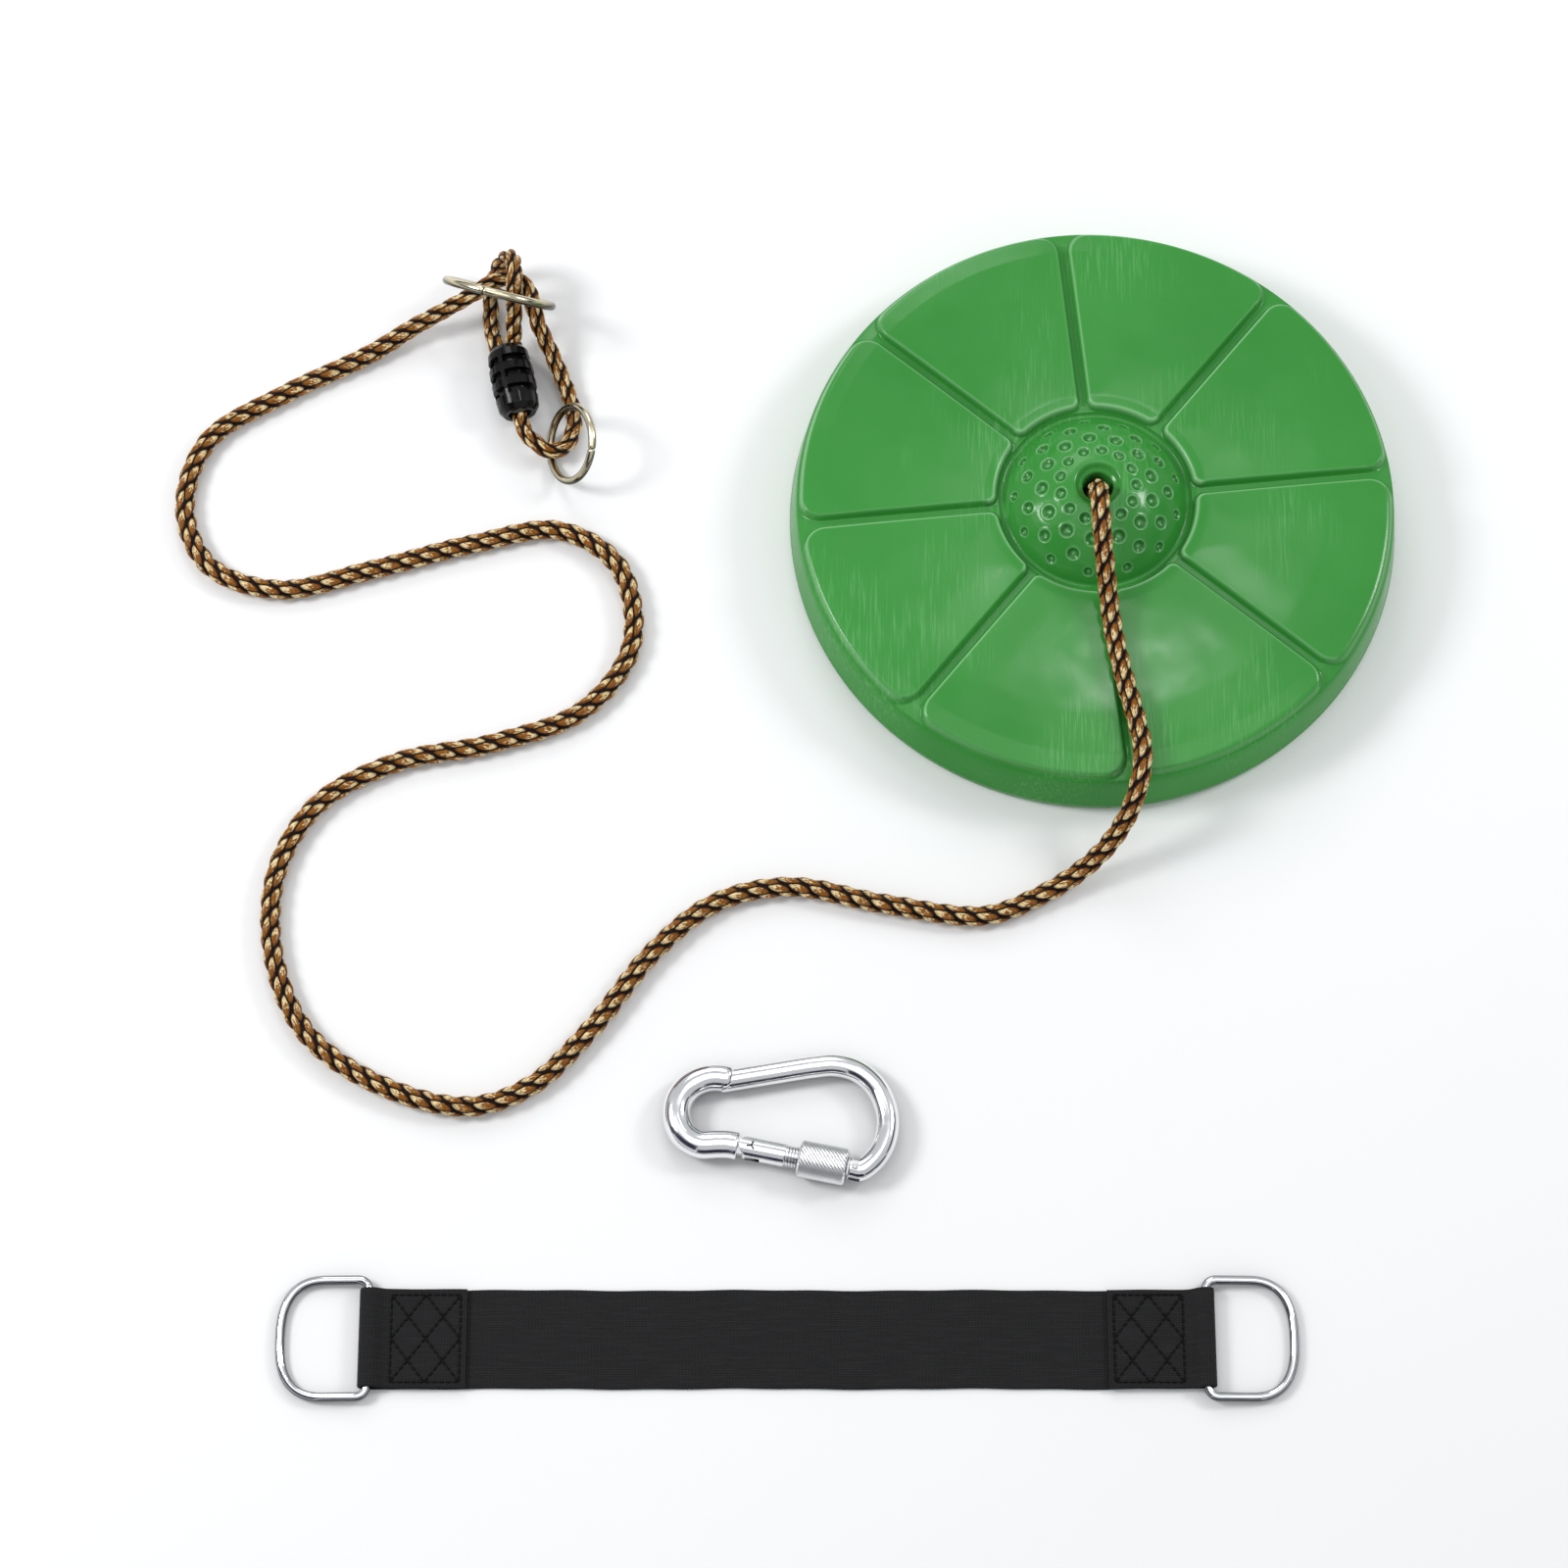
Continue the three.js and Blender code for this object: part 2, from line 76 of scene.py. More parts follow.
BARREL_FOOT = np.array([-171.4, 207, 12])
BARREL_TOP = np.array([-179.2, 243.7, 12])
TENSION_RING = dict(centre=(-182, 264, 36.4), radius=27.6, wire=2.2, turn=-15.8, lean=26)
HANGING_RING = dict(centre=(-144.7, 188, 17.6), radius=19, wire=2, turn=12.8, lean=55)

HOOK_PLACE = (-38.9, -163.9, 7.8)
HOOK_TILT = -2.83
HOOK_ROD = 5.6
EYE_ROD = 6.8
PIVOT = (-12.9, -17.3)
GATE_ANGLE = -11.5
GATE_RADIUS = 5.75
THREAD_START = 17
THREAD_PITCH = 1.5
THREAD_ROOT, THREAD_HEIGHT = 5.0, 0.62
WINDOW = (9.2, 1.7, 4.15)  # on the gate: middle, half its straight length, angle round
GATE_SHOULDER = 47.4
NOSE_START = 48.1
PIN_AT = 51
SLEEVE_START, SLEEVE_END, SLEEVE_BORE, SLEEVE_RADIUS = 23.5, 47.0, 6.0, 9.0
SLEEVE_STEP = 0.24
KNURL_TEETH = 25
KNURL_LEAN = 0.55  # teeth passed for each millimetre along the sleeve

STRAP_CENTRE = np.array([-34.5, -273, 0])
STRAP_WIDTH = 48
STRAP_THICKNESS = 1.8
RIB_PITCH, CORD_PITCH = 1.5, 1.1  # of the weave, along and across the strap
BAR_OFFSET = 200
FOLD_END = 153
LAYER_GAP = 0.3
D_WIRE = 2.2
D_HALF_HEIGHT = 28.3
D_LEG = 20  # length of the straight legs
D_REACH = 22  # from the end of the legs to the middle of the round side
D_ROUND = 2.6  # exponent of the round side
D_CORNER = 5

# The rope's line: up through the seat, over the hub and rim, along the ground, then through
# the adjuster and into the ferrule's foot.
ROPE_ROUTE = [
    (121, 149.5, 22), (121, 149.5, 38), (121, 148.2, 50), (121, 143.6, 58.3), (121, 136, 63),
    (121.3, 127, 63.2), (122, 117, 60.2), (123.3, 105, 54.2), (125, 92, 47.6), (127, 76, 44),
    (131.5, 52, 43.9), (137, 29, 43.9), (140, 12, 43.6), (138.8, -1.5, 42.6), (136.5, -10, 38),
    (131.5, -20, 28.5), (123, -30, 18), (110, -40, 9.5), (90, -51.5, 5.6), (63, -61.5, 5.3),
    (14, -55.5, 5.3), (-34, -46.5, 5.3), (-70, -55, 5.3), (-100, -80, 5.3), (-130, -119.5, 5.3),
    (-159, -148.5, 5.3), (-190, -159, 5.3), (-236, -146.5, 5.3), (-270, -121, 5.3),
    (-287, -82, 5.3), (-287, -38, 5.3), (-268, -3, 5.3), (-230, 19, 5.3), (-181, 29.5, 5.3),
    (-137, 47, 5.3), (-113, 82, 5.3), (-120, 125, 5.3), (-150, 145, 5.3), (-195, 137.5, 5.3),
    (-245, 123.5, 5.3), (-293, 112.5, 5.3), (-328, 125.5, 5.3), (-342, 157, 5.3),
    (-332, 195, 5.3), (-292, 222.5, 5.3),
]
ADJUSTER_ROUTE = [
    (-250, 244.5, 5.6), (-228, 257.5, 10), (-210, 264, 18.5), (-194, 270.4, 25.5),
    (-185, 276.6, 25.5), (-175.5, 278.2, 24.5), (-168, 272.5, 24.5), (-165.5, 263.5, 24),
    (-162.5, 254.5, 19), (-156.5, 243, 11.5), (-150.5, 230, 6), (-146, 218, 4.6),
    (-144, 207, 4.8), (-145.5, 197, 5.5), (-149.3, 190.3, 7.4), (-155.8, 187.6, 9.8),
    (-163, 191, 11.4), (-168.7, 197.5, 12), (-170.4, 202, 12), (-171.3, 206.3, 12),
]
EYE_ROUTE = [
    (-175, 245.4, 13.4), (-175.6, 249.6, 13.5), (-175.2, 257, 20), (-174.8, 264.5, 28),
    (-174.6, 273, 34.2), (-175, 281.5, 34.2), (-177.5, 288.6, 28.5), (-182, 290.6, 19),
    (-186, 288, 10), (-188, 281, 5.3), (-188.5, 270, 4.6), (-187.5, 258, 5),
    (-186, 252, 7.6), (-184.8, 247.8, 10), (-183.7, 243.7, 10.2),
]


# ---------------------------------------------------------------- mesh helpers
def smoothstep(low, high, x):
    t = np.clip((x - low) / (high - low), 0, 1)
    return t * t * (3 - 2 * t)


def angles_round(sides):
    return np.arange(sides) * TURN / sides


def about_x(x, radius, angle):
    """Points round the X axis, from a column of x and a radius for each row and angle."""
    return np.stack([
        np.broadcast_to(x, radius.shape), radius * np.cos(angle), radius * np.sin(angle),
    ], -1)


def grid_quads(rows, columns, wrap_rows=False):
    """Faces of a grid of vertices numbered row by row, joined round each row."""
    i = np.arange(rows if wrap_rows else rows - 1)[:, None]
    j = np.arange(columns)[None, :]
    up, right = (i + 1) % rows, (j + 1) % columns
    corners = [i * columns + j, up * columns + j, up * columns + right, i * columns + right]
    return np.stack(np.broadcast_arrays(*corners), axis=-1).reshape(-1, 4)


def signed_volume(points, quads, triangles):
    total = 0.0
    for faces in (quads[:, [0, 1, 2]], quads[:, [0, 2, 3]], triangles):
        a, b, c = (points[faces[:, k]] for k in range(3))
        total += float(np.einsum("ij,ij->i", a, np.cross(b, c)).sum())
    return total


def make(name, points, quads=(), triangles=(), finish=None, sharp=38, fields=None):
    """A mesh object from points in millimetres, its faces turned outwards."""
    points = np.asarray(points, float).reshape(-1, 3)
    quads = np.asarray(quads, np.int32).reshape(-1, 4)
    triangles = np.asarray(triangles, np.int32).reshape(-1, 3)
    centred = points - points.mean(0)
    if signed_volume(centred, quads, triangles) < 0:
        quads, triangles = quads[:, ::-1], triangles[:, ::-1]
    mesh = bpy.data.meshes.new(name)
    mesh.vertices.add(len(points))
    mesh.vertices.foreach_set("co", (points * MM).astype(np.float32).ravel())
    corners = np.concatenate([quads.ravel(), triangles.ravel()]).astype(np.int32)
    sizes = np.concatenate([np.full(len(quads), 4), np.full(len(triangles), 3)])
    mesh.loops.add(len(corners))
    mesh.loops.foreach_set("vertex_index", corners)
    mesh.polygons.add(len(sizes))
    starts = np.concatenate([[0], np.cumsum(sizes)[:-1]]).astype(np.int32)
    mesh.polygons.foreach_set("loop_start", starts)
    mesh.update(calc_edges=True)
    for field, values in (fields or {}).items():
        layer = mesh.attributes.new(field, "FLOAT_VECTOR", "POINT")
        layer.data.foreach_set("vector", np.asarray(values, np.float32).ravel())
    return dress(bpy.data.objects.new(name, mesh), finish, sharp)


def dress(obj, finish, sharp=38):
    if obj.name not in bpy.context.scene.collection.objects:
        bpy.context.scene.collection.objects.link(obj)
    mesh = obj.data
    mesh.polygons.foreach_set("use_smooth", np.ones(len(mesh.polygons), bool))
    mesh.set_sharp_from_angle(angle=math.radians(sharp))
    mesh.materials.clear()
    mesh.materials.append(finish)
    return obj


def carve(obj, cutters, operation="DIFFERENCE"):
    """obj with each cutter taken away or added; the cutters are removed."""
    for cutter in cutters:
        change = obj.modifiers.new("carve", "BOOLEAN")
        change.operation, change.object, change.solver = operation, cutter, "MANIFOLD"
    bpy.context.view_layer.update()
    shaped = obj.evaluated_get(bpy.context.evaluated_depsgraph_get())
    mesh = bpy.data.meshes.new_from_object(shaped)
    obj.modifiers.clear()
    obj.data = mesh
    for cutter in cutters:
        bpy.data.objects.remove(cutter)
    return obj


def place(obj, body, stands_for=()):
    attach(obj, body)
    if stands_for:
        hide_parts(*stands_for)
    return obj


def catmull_rom(route, step):
    """Points about step apart on the centripetal curve through the route."""
    points = np.array(route, float)
    points = np.vstack([2 * points[0] - points[1], points, 2 * points[-1] - points[-2]])
    fine = []
    share = np.linspace(0, 1, 40, endpoint=False)[:, None]
    for p0, p1, p2, p3 in zip(points[:-3], points[1:-2], points[2:-1], points[3:]):
        spans = ((p0, p1), (p1, p2), (p2, p3))
        t01, t12, t23 = (math.sqrt(np.linalg.norm(b - a)) for a, b in spans)
        m1 = ((p1 - p0) / t01 - (p2 - p0) / (t01 + t12) + (p2 - p1) / t12) * t12
        m2 = ((p2 - p1) / t12 - (p3 - p1) / (t12 + t23) + (p3 - p2) / t23) * t12
        t = share
        fine.append(
            p1 + m1 * t + (-3 * p1 + 3 * p2 - 2 * m1 - m2) * t**2
            + (2 * p1 - 2 * p2 + m1 + m2) * t**3
        )
    fine = np.vstack([*fine, points[-2:-1]])
    return resampled(fine, step)


def resampled(line, step):
    along = np.concatenate([[0], np.cumsum(np.linalg.norm(np.diff(line, axis=0), axis=1))])
    at = np.linspace(0, along[-1], int(along[-1] / step) + 1)
    return np.stack([np.interp(at, along, line[:, k]) for k in range(3)], axis=1)


def carried_frames(line):
    """Two directions across the line at each point, carried along it without twist."""
    tangents = np.gradient(line, axis=0)
    tangents /= np.linalg.norm(tangents, axis=1)[:, None]
    across = np.zeros_like(line)
    side = np.array([0, 0, 1.0])
    if abs(side @ tangents[0]) > 0.9:
        side = np.array([1.0, 0, 0])
    for i, t in enumerate(tangents):
        side = side - (side @ t) * t
        side /= np.linalg.norm(side)
        across[i] = side
    return across, np.cross(tangents, across)


def swept(line, radii, sides, closed=False, frames=None):
    """A round skin along a line. radii is a number, one per point, or one per vertex."""
    a, b = frames if frames else carried_frames(line)
    angle = angles_round(sides)
    radii = np.asarray(radii, float)
    radii = np.broadcast_to(radii.reshape(-1, 1) if radii.ndim < 2 else radii, (len(line), sides))
    ring = a[:, None] * np.cos(angle)[None, :, None] + b[:, None] * np.sin(angle)[None, :, None]
    points = (line[:, None] + radii[:, :, None] * ring).reshape(-1, 3)
    quads = grid_quads(len(line), sides, wrap_rows=closed)
    if closed:
        return points, quads, np.zeros((0, 3), int)
    return capped(points, quads, len(line), sides, line[0], line[-1])


def capped(points, quads, rows, sides, start, end):
    """Fans over both open ends of a grid."""
    j = np.arange(sides)
    first, last = len(points), len(points) + 1
    lower = np.stack([np.full(sides, first), j, (j + 1) % sides], axis=1)
    base = (rows - 1) * sides
    upper = np.stack([np.full(sides, last), base + (j + 1) % sides, base + j], axis=1)
    return np.vstack([points, start, end]), quads, np.vstack([lower, upper])


def turned(profile, sides, field=None):
    """A profile of (radius, height) pairs about Z; field changes the radius by row and angle."""
    profile = np.array(profile, float)
    angle = angles_round(sides)
    radius = np.broadcast_to(profile[:, :1], (len(profile), sides))
    if field is not None:
        radius = radius + field
    points = np.stack([
        radius * np.cos(angle), radius * np.sin(angle),
        np.broadcast_to(profile[:, 1:], radius.shape),
    ], axis=-1).reshape(-1, 3)
    ends = [(0, 0, profile[0, 1]), (0, 0, profile[-1, 1])]
    return capped(points, grid_quads(len(profile), sides), len(profile), sides, *ends)


def box_mesh(x0, x1, y0, y1, z0, z1):
    points = np.array([(x, y, z) for x in (x0, x1) for y in (y0, y1) for z in (z0, z1)], float)
    return points, np.array([
        (0, 1, 3, 2), (4, 6, 7, 5), (0, 4, 5, 1), (2, 3, 7, 6), (0, 2, 6, 4), (1, 5, 7, 3),
    ])


def rod_mesh(radius, start, end, sides, bevel):
    """A rod from start to end, with its ends bevelled."""
    start, end = np.array(start, float), np.array(end, float)
    axis = (end - start) / np.linalg.norm(end - start)
    line = np.array([start, start + axis * bevel, end - axis * bevel, end])
    radii = [radius - bevel, radius, radius, radius - bevel]
    side = np.cross(axis, (0.3, 0.5, 0.8))
    side /= np.linalg.norm(side)
    frames = np.broadcast_to(side, line.shape), np.broadcast_to(np.cross(axis, side), line.shape)
    return swept(line, np.array(radii), sides, frames=frames)


def refined(outline, step):
    """The outline's own points, with more between them at every step."""
    outline = np.array(outline, float)
    t = np.concatenate([[0], np.cumsum(np.hypot(*np.diff(outline, axis=0).T))])
    at = np.unique(np.concatenate([t, np.arange(0, t[-1], step)]))
    return np.stack([np.interp(at, t, outline[:, k]) for k in (0, 1)], 1)


def threefold(values):
    return np.repeat(np.ravel(values)[:, None], 3, axis=1)


def rotation(axis, degrees):
    return np.array(Matrix.Rotation(math.radians(degrees), 3, axis))


# ---------------------------------------------------------------- material helpers
class Finish:
    """A Principled material that is built up node by node."""

    def __init__(self, name, colour, roughness, metallic=0.0, **constants):
        self.material = bpy.data.materials.new(name)
        self.material.use_nodes = True
        self.nodes = self.material.node_tree.nodes
        self.links = self.material.node_tree.links
        self.shader = self.nodes["Principled BSDF"]
        self.shader.inputs["Base Color"].default_value = (*colour, 1)
        self.shader.inputs["Roughness"].default_value = roughness
        self.shader.inputs["Metallic"].default_value = metallic
        for socket, value in constants.items():
            self.shader.inputs[socket.replace("_", " ")].default_value = value

    def node(self, kind, inputs=None, **settings):
        made = self.nodes.new(kind)
        for key, value in settings.items():
            setattr(made, key, value)
        for key, value in (inputs or {}).items():
            if isinstance(value, bpy.types.NodeSocket):
                self.links.new(value, made.inputs[key])
            else:
                made.inputs[key].default_value = value
        return made

    def position(self, scale=(1, 1, 1)):
        """Object coordinates in metres, stretched."""
        return self.scaled(self.node("ShaderNodeTexCoord").outputs["Object"], scale)

    def field(self, name, scale=(1, 1, 1)):
        where = self.node("ShaderNodeAttribute", attribute_name=name).outputs["Vector"]
        return self.scaled(where, scale)

    def scaled(self, vector, scale):
        return self.node(
            "ShaderNodeVectorMath", {0: vector, 1: scale}, operation="MULTIPLY"
        ).outputs[0]

    def parts(self, vector):
        return self.node("ShaderNodeSeparateXYZ", {0: vector}).outputs

    def noise(self, vector, scale, detail=3.0, roughness=0.5):
        return self.node(
            "ShaderNodeTexNoise",
            {"Vector": vector, "Scale": scale, "Detail": detail, "Roughness": roughness},
        ).outputs["Fac"]

    def ramp(self, value, low, high, to_low=0.0, to_high=1.0):
        return self.node("ShaderNodeMapRange", {
            "Value": value, "From Min": low, "From Max": high, "To Min": to_low, "To Max": to_high,
        }).outputs["Result"]

    def math(self, operation, a, b=0.0):
        return self.node("ShaderNodeMath", {0: a, 1: b}, operation=operation).outputs[0]

    def mix(self, share, a, b):
        made = self.node("ShaderNodeMix", data_type="RGBA")
        for index, value in ((0, share), (6, a), (7, b)):
            if isinstance(value, bpy.types.NodeSocket):
                self.links.new(value, made.inputs[index])
            else:
                made.inputs[index].default_value = value if index == 0 else (*value, 1)
        return made.outputs[2]

    def use(self, socket, value):
        self.links.new(value, self.shader.inputs[socket])

    def bump(self, height, distance, strength=1.0):
        """Adds to the bumps that the shader already has."""
        made = self.node(
            "ShaderNodeBump", {"Height": height, "Distance": distance, "Strength": strength}
        )
        held = self.shader.inputs["Normal"].links
        if held:
            self.links.new(held[0].from_socket, made.inputs["Normal"])
        self.links.new(made.outputs["Normal"], self.shader.inputs["Normal"])


def seat_plastic(name, shine):
    f = Finish(name, (0.03, 0.26, 0.035), 0.3, Specular_IOR_Level=shine)
    cloud = f.noise(f.position(), 9.0, 2.0)
    tone = f.mix(f.ramp(cloud, 0.35, 0.65), (0.031, 0.245, 0.033), (0.042, 0.280, 0.043))
    # fine rubbed streaks, gathered in patches
    streak = f.noise(f.position((1.0, 0.05, 0.3)), 900.0, 2.0, 0.6)
    patch = f.noise(f.position(), 17.0, 1.0)
    share = f.math("MULTIPLY", f.ramp(streak, 0.5, 0.72), f.ramp(patch, 0.5, 0.68, 0.0, 0.45))
    tone = f.mix(share, tone, (0.16, 0.46, 0.16))
    # light and shade drawn on the seat by seat_mesh, which turn with it
    painted_highlight, dark, _ = f.parts(f.field("drawn_light"))
    # the first part of drawn_light is a painted highlight, the second a painted shade
    tone = f.mix(f.math("MULTIPLY", dark, 0.6), tone, (0.006, 0.085, 0.009))
    f.use("Base Color", f.mix(f.math("MULTIPLY", painted_highlight, 0.6), tone, (0.36, 0.70, 0.36)))
    rough = f.noise(f.position(), 60.0, 3.0)
    f.use("Roughness", f.ramp(rough, 0.3, 0.7, 0.15, 0.24))
    f.bump(f.noise(f.position(), 35.0, 2.0), 0.0006, 0.08)
    f.bump(f.noise(f.position(), 700.0, 3.0), 0.00006, 0.35)
    return f.material


def rope_fibre():
    f = Finish("rope_fibre", (0.3, 0.12, 0.02), 0.34, Specular_IOR_Level=0.15)
    along = f.parts(f.field("leaf"))[0]
    height = f.parts(f.field("relief"))[0]
    fine = f.noise(f.field("leaf", (0.35, 5.0, 37.0)), 1.6, 3.0, 0.65)
    broad = f.noise(f.field("leaf", (0.5, 1.2, 91.0)), 1.1, 1.0)
    base = f.mix(f.ramp(fine, 0.36, 0.66), (0.090, 0.018, 0.0005), (0.45, 0.165, 0.014))
    # light drawn along each stitch, from its own shade to cream
    turning = f.math("ADD", along, f.math("MULTIPLY", f.math("SUBTRACT", broad, 0.5), 16.0))
    lit = f.math("MULTIPLY", f.ramp(turning, -0.2, 2.6), f.ramp(fine, 0.34, 0.54, 0.4, 1.0))
    base = f.mix(lit, base, (1.0, 0.80, 0.42))
    # painted shade in the seams between stitches
    base = f.mix(f.ramp(height, 0.36, 0.80), (0.010, 0.0015, 0.0003), base)
    f.use("Base Color", base)
    f.use("Roughness", f.ramp(fine, 0.3, 0.7, 0.40, 0.24))
    f.bump(fine, 0.00035, 0.8)
    return f.material


def plated_steel(name, tone, dull, roughness, rub, under):
    """Plated steel with painted shade and dark reflection on its faces turned away from its own up,
    fully dark at under's first height.
    """
    f = Finish(name, tone, roughness, 1.0)
    cloud = f.noise(f.position(), 55.0, 4.0, 0.6)
    base = f.mix(f.ramp(cloud, 0.45, 0.8, 0.0, 0.6), tone, dull)
    # painted shade and dark reflection where the surface turns away from up
    facing = f.parts(f.node("ShaderNodeTexCoord").outputs["Normal"])[2]
    base = f.mix(f.ramp(facing, *under), tuple(0.09 * c for c in tone), base)
    # painted shade in grooves and recesses, from the depth field
    depth = f.parts(f.field("depth"))[0]
    f.use("Base Color", f.mix(f.ramp(depth, 0.25, 0.95, 0.0, 0.9), base, (0.05, 0.05, 0.055)))
    f.use("Roughness", f.ramp(f.noise(f.position(), 160.0, 4.0), 0.3, 0.75, roughness, rub))
    f.bump(f.noise(f.position(), 900.0, 3.0), 0.00001, 0.3)
    return f.material


def black_plastic():
    f = Finish("black_plastic", (0.003, 0.003, 0.003), 0.28, Specular_IOR_Level=0.25)
    f.use("Roughness", f.ramp(f.noise(f.position(), 220.0, 4.0), 0.3, 0.7, 0.10, 0.24))
    f.bump(f.noise(f.position(), 900.0, 3.0), 0.00003, 0.4)
    return f.material


def webbing_cloth():
    f = Finish("webbing", (0.008, 0.008, 0.009), 0.85, Sheen_Weight=0.03, Sheen_Roughness=0.5,
               Specular_IOR_Level=0.25)
    s, y, _ = f.parts(f.field("weave"))
    rib = f.math("SINE", f.math("MULTIPLY", s, TURN / RIB_PITCH))
    wander = f.math("MULTIPLY", rib, 0.9)
    cord = f.math("SINE", f.math("ADD", f.math("MULTIPLY", y, TURN / CORD_PITCH), wander))
    weave = f.math("MULTIPLY", f.math("ADD", rib, 1.6), f.math("ADD", cord, 1.3))
    wear = f.noise(f.field("weave", (0.06, 0.9, 1)), 1.0, 3.0)
    tone = f.mix(f.ramp(weave, 0.2, 4.5), (0.006, 0.006, 0.0065), (0.017, 0.017, 0.018))
    f.use("Base Color", f.mix(f.ramp(wear, 0.45, 0.8, 0.0, 0.5), tone, (0.024, 0.024, 0.025)))
    f.bump(weave, 0.00012, 0.6)
    return f.material


def sewing_thread():
    f = Finish("thread", (0.004, 0.004, 0.004), 0.7, Specular_IOR_Level=0.15)
    ply = f.noise(f.position(), 2600.0, 2.0)
    f.use("Base Color", f.mix(f.ramp(ply, 0.4, 0.6), (0.001, 0.001, 0.001), (0.006, 0.006, 0.006)))
    f.bump(ply, 0.0001, 0.5)
    return f.material


GREEN = seat_plastic("seat_plastic", 0.36)
GREEN_SIDE = seat_plastic("seat_side_plastic", 0.08)  # the skirt has no polish
ROPE = rope_fibre()
BLACK = black_plastic()
RING_STEEL = plated_steel(
    "ring_steel", (0.74, 0.67, 0.48), (0.50, 0.42, 0.24), 0.12, 0.26, (0.30, 0.72)
)
ZINC = plated_steel("zinc_steel", (0.90, 0.90, 0.91), (0.72, 0.72, 0.75), 0.10, 0.22, (-0.35, 0.12))
BRIGHT = plated_steel(
    "bright_steel", (0.80, 0.81, 0.83), (0.55, 0.56, 0.58), 0.06, 0.16, (0.50, 0.88)
)
WEBBING = webbing_cloth()
THREAD = sewing_thread()
DARK_MARK = plated_steel("dark_mark", (0.05, 0.05, 0.055), (0.02, 0.02, 0.02), 0.5, 0.6, (-2, -1))

# ---------------------------------------------------------------- camera, floor and light
scene = bpy.context.scene
scene.view_settings.view_transform = "Standard"
AIM = Vector((-0.036, 0.0095, 0))
camera = bpy.data.objects.new("camera", bpy.data.cameras.new("camera"))
camera.location = (AIM.x, -0.7185, 2.0)
camera.rotation_mode = "QUATERNION"
camera.rotation_quaternion = (AIM - camera.location).to_track_quat("-Z", "Y")
camera.data.lens, camera.data.sensor_width = 97.7, 36
scene.collection.objects.link(camera)
scene.camera = camera

world = bpy.data.worlds.new("studio")
world.use_nodes = True
world.node_tree.nodes["Background"].inputs["Color"].default_value = (0.95, 0.97, 1.0, 1)
world.node_tree.nodes["Background"].inputs["Strength"].default_value = 0.6
scene.world = world


def lamp(name, direction, distance, size, power):
    data = bpy.data.lights.new(name, "AREA")
    data.shape, data.size, data.energy = "SQUARE", size, power
    light = bpy.data.objects.new(name, data)
    light.location = AIM + Vector(direction).normalized() * distance
    light.rotation_mode = "QUATERNION"
    light.rotation_quaternion = (AIM - light.location).to_track_quat("-Z", "Y")
    scene.collection.objects.link(light)


lamp("left_box", (-0.714, 0.075, 0.695), 1.9, 0.5, 15)
lamp("right_box", (0.73, 0.26, 0.63), 1.9, 0.4, 8)
lamp("back_box", (-0.15, 0.9, 0.75), 2.2, 0.9, 7)
lamp("strip_box", (0.346, 0.83, 2.0), 2.2, 0.10, 0.9)


def stage_sheet(name, corners, colour, glow=0.0):
    f = Finish(name, colour, 0.9, Emission_Color=(1, 1, 1, 1), Emission_Strength=glow)
    speckle = f.noise(f.position(), 4.0, 2.0)
    f.use("Base Color", f.mix(f.ramp(speckle, 0.3, 0.7), colour, tuple(0.985 * c for c in colour)))
    mesh = bpy.data.meshes.new(name)
    mesh.from_pydata(corners, [], [(0, 1, 2, 3)])
    mesh.materials.append(f.material)
    made = bpy.data.objects.new(name, mesh)
    scene.collection.objects.link(made)
    made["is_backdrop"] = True
    return made


FLOOR_HALF = 6.0
stage_sheet("floor", [
    (-FLOOR_HALF, -FLOOR_HALF, 0), (FLOOR_HALF, -FLOOR_HALF, 0),
    (FLOOR_HALF, FLOOR_HALF, 0), (-FLOOR_HALF, FLOOR_HALF, 0),
], (0.93, 0.93, 0.93))
# dark flags all round and a glowing white card overhead, which only glossy surfaces show
FLAG_DISTANCE = 1.5
FLAGS = [
    (-20, 20, 0.30, 0.70), (40, 80, 0.10, 0.42), (100, 140, 0.10, 0.42), (158, 200, 0.22, 0.55),
    (187, 246, 0.45, 1.75), (250, 292, 0.03, 0.80), (296, 336, 0.10, 0.50),
]
for number, (start, end, low, high) in enumerate(FLAGS):
    (ax, ay), (bx, by) = (
        (FLAG_DISTANCE * math.cos(a), FLAG_DISTANCE * math.sin(a)) for a in np.radians((start, end))
    )
    flag = stage_sheet(
        f"flag_{number}", [(ax, ay, low), (bx, by, low), (bx, by, high), (ax, ay, high)],
        (0.008, 0.008, 0.03),
    )
    flag.visible_camera = flag.visible_diffuse = flag.visible_shadow = False
CARD_HEIGHT = 2.3
card = stage_sheet("white_card", [
    (-1.0, -0.9, CARD_HEIGHT), (1.0, -0.9, CARD_HEIGHT), (1.0, 0.58, CARD_HEIGHT),
    (-1.0, 0.58, CARD_HEIGHT),
], (0.9, 0.9, 0.9), glow=1.15)
card.visible_camera = card.visible_diffuse = card.visible_shadow = False


# ---------------------------------------------------------------- rope
LEAF_COLUMNS = 6
LEAF_PITCH = 10.4
LEAF_HALF = (5.7, 2.5)  # along and across
LEAF_TILT = math.radians(23)
LEAF_RELIEF = 0.34  # share of the radius
LEAF_SEAM = 0.75  # how wide the dark seams between stitches are
ROPE_STEP = 0.85
ROPE_SIDES = 48


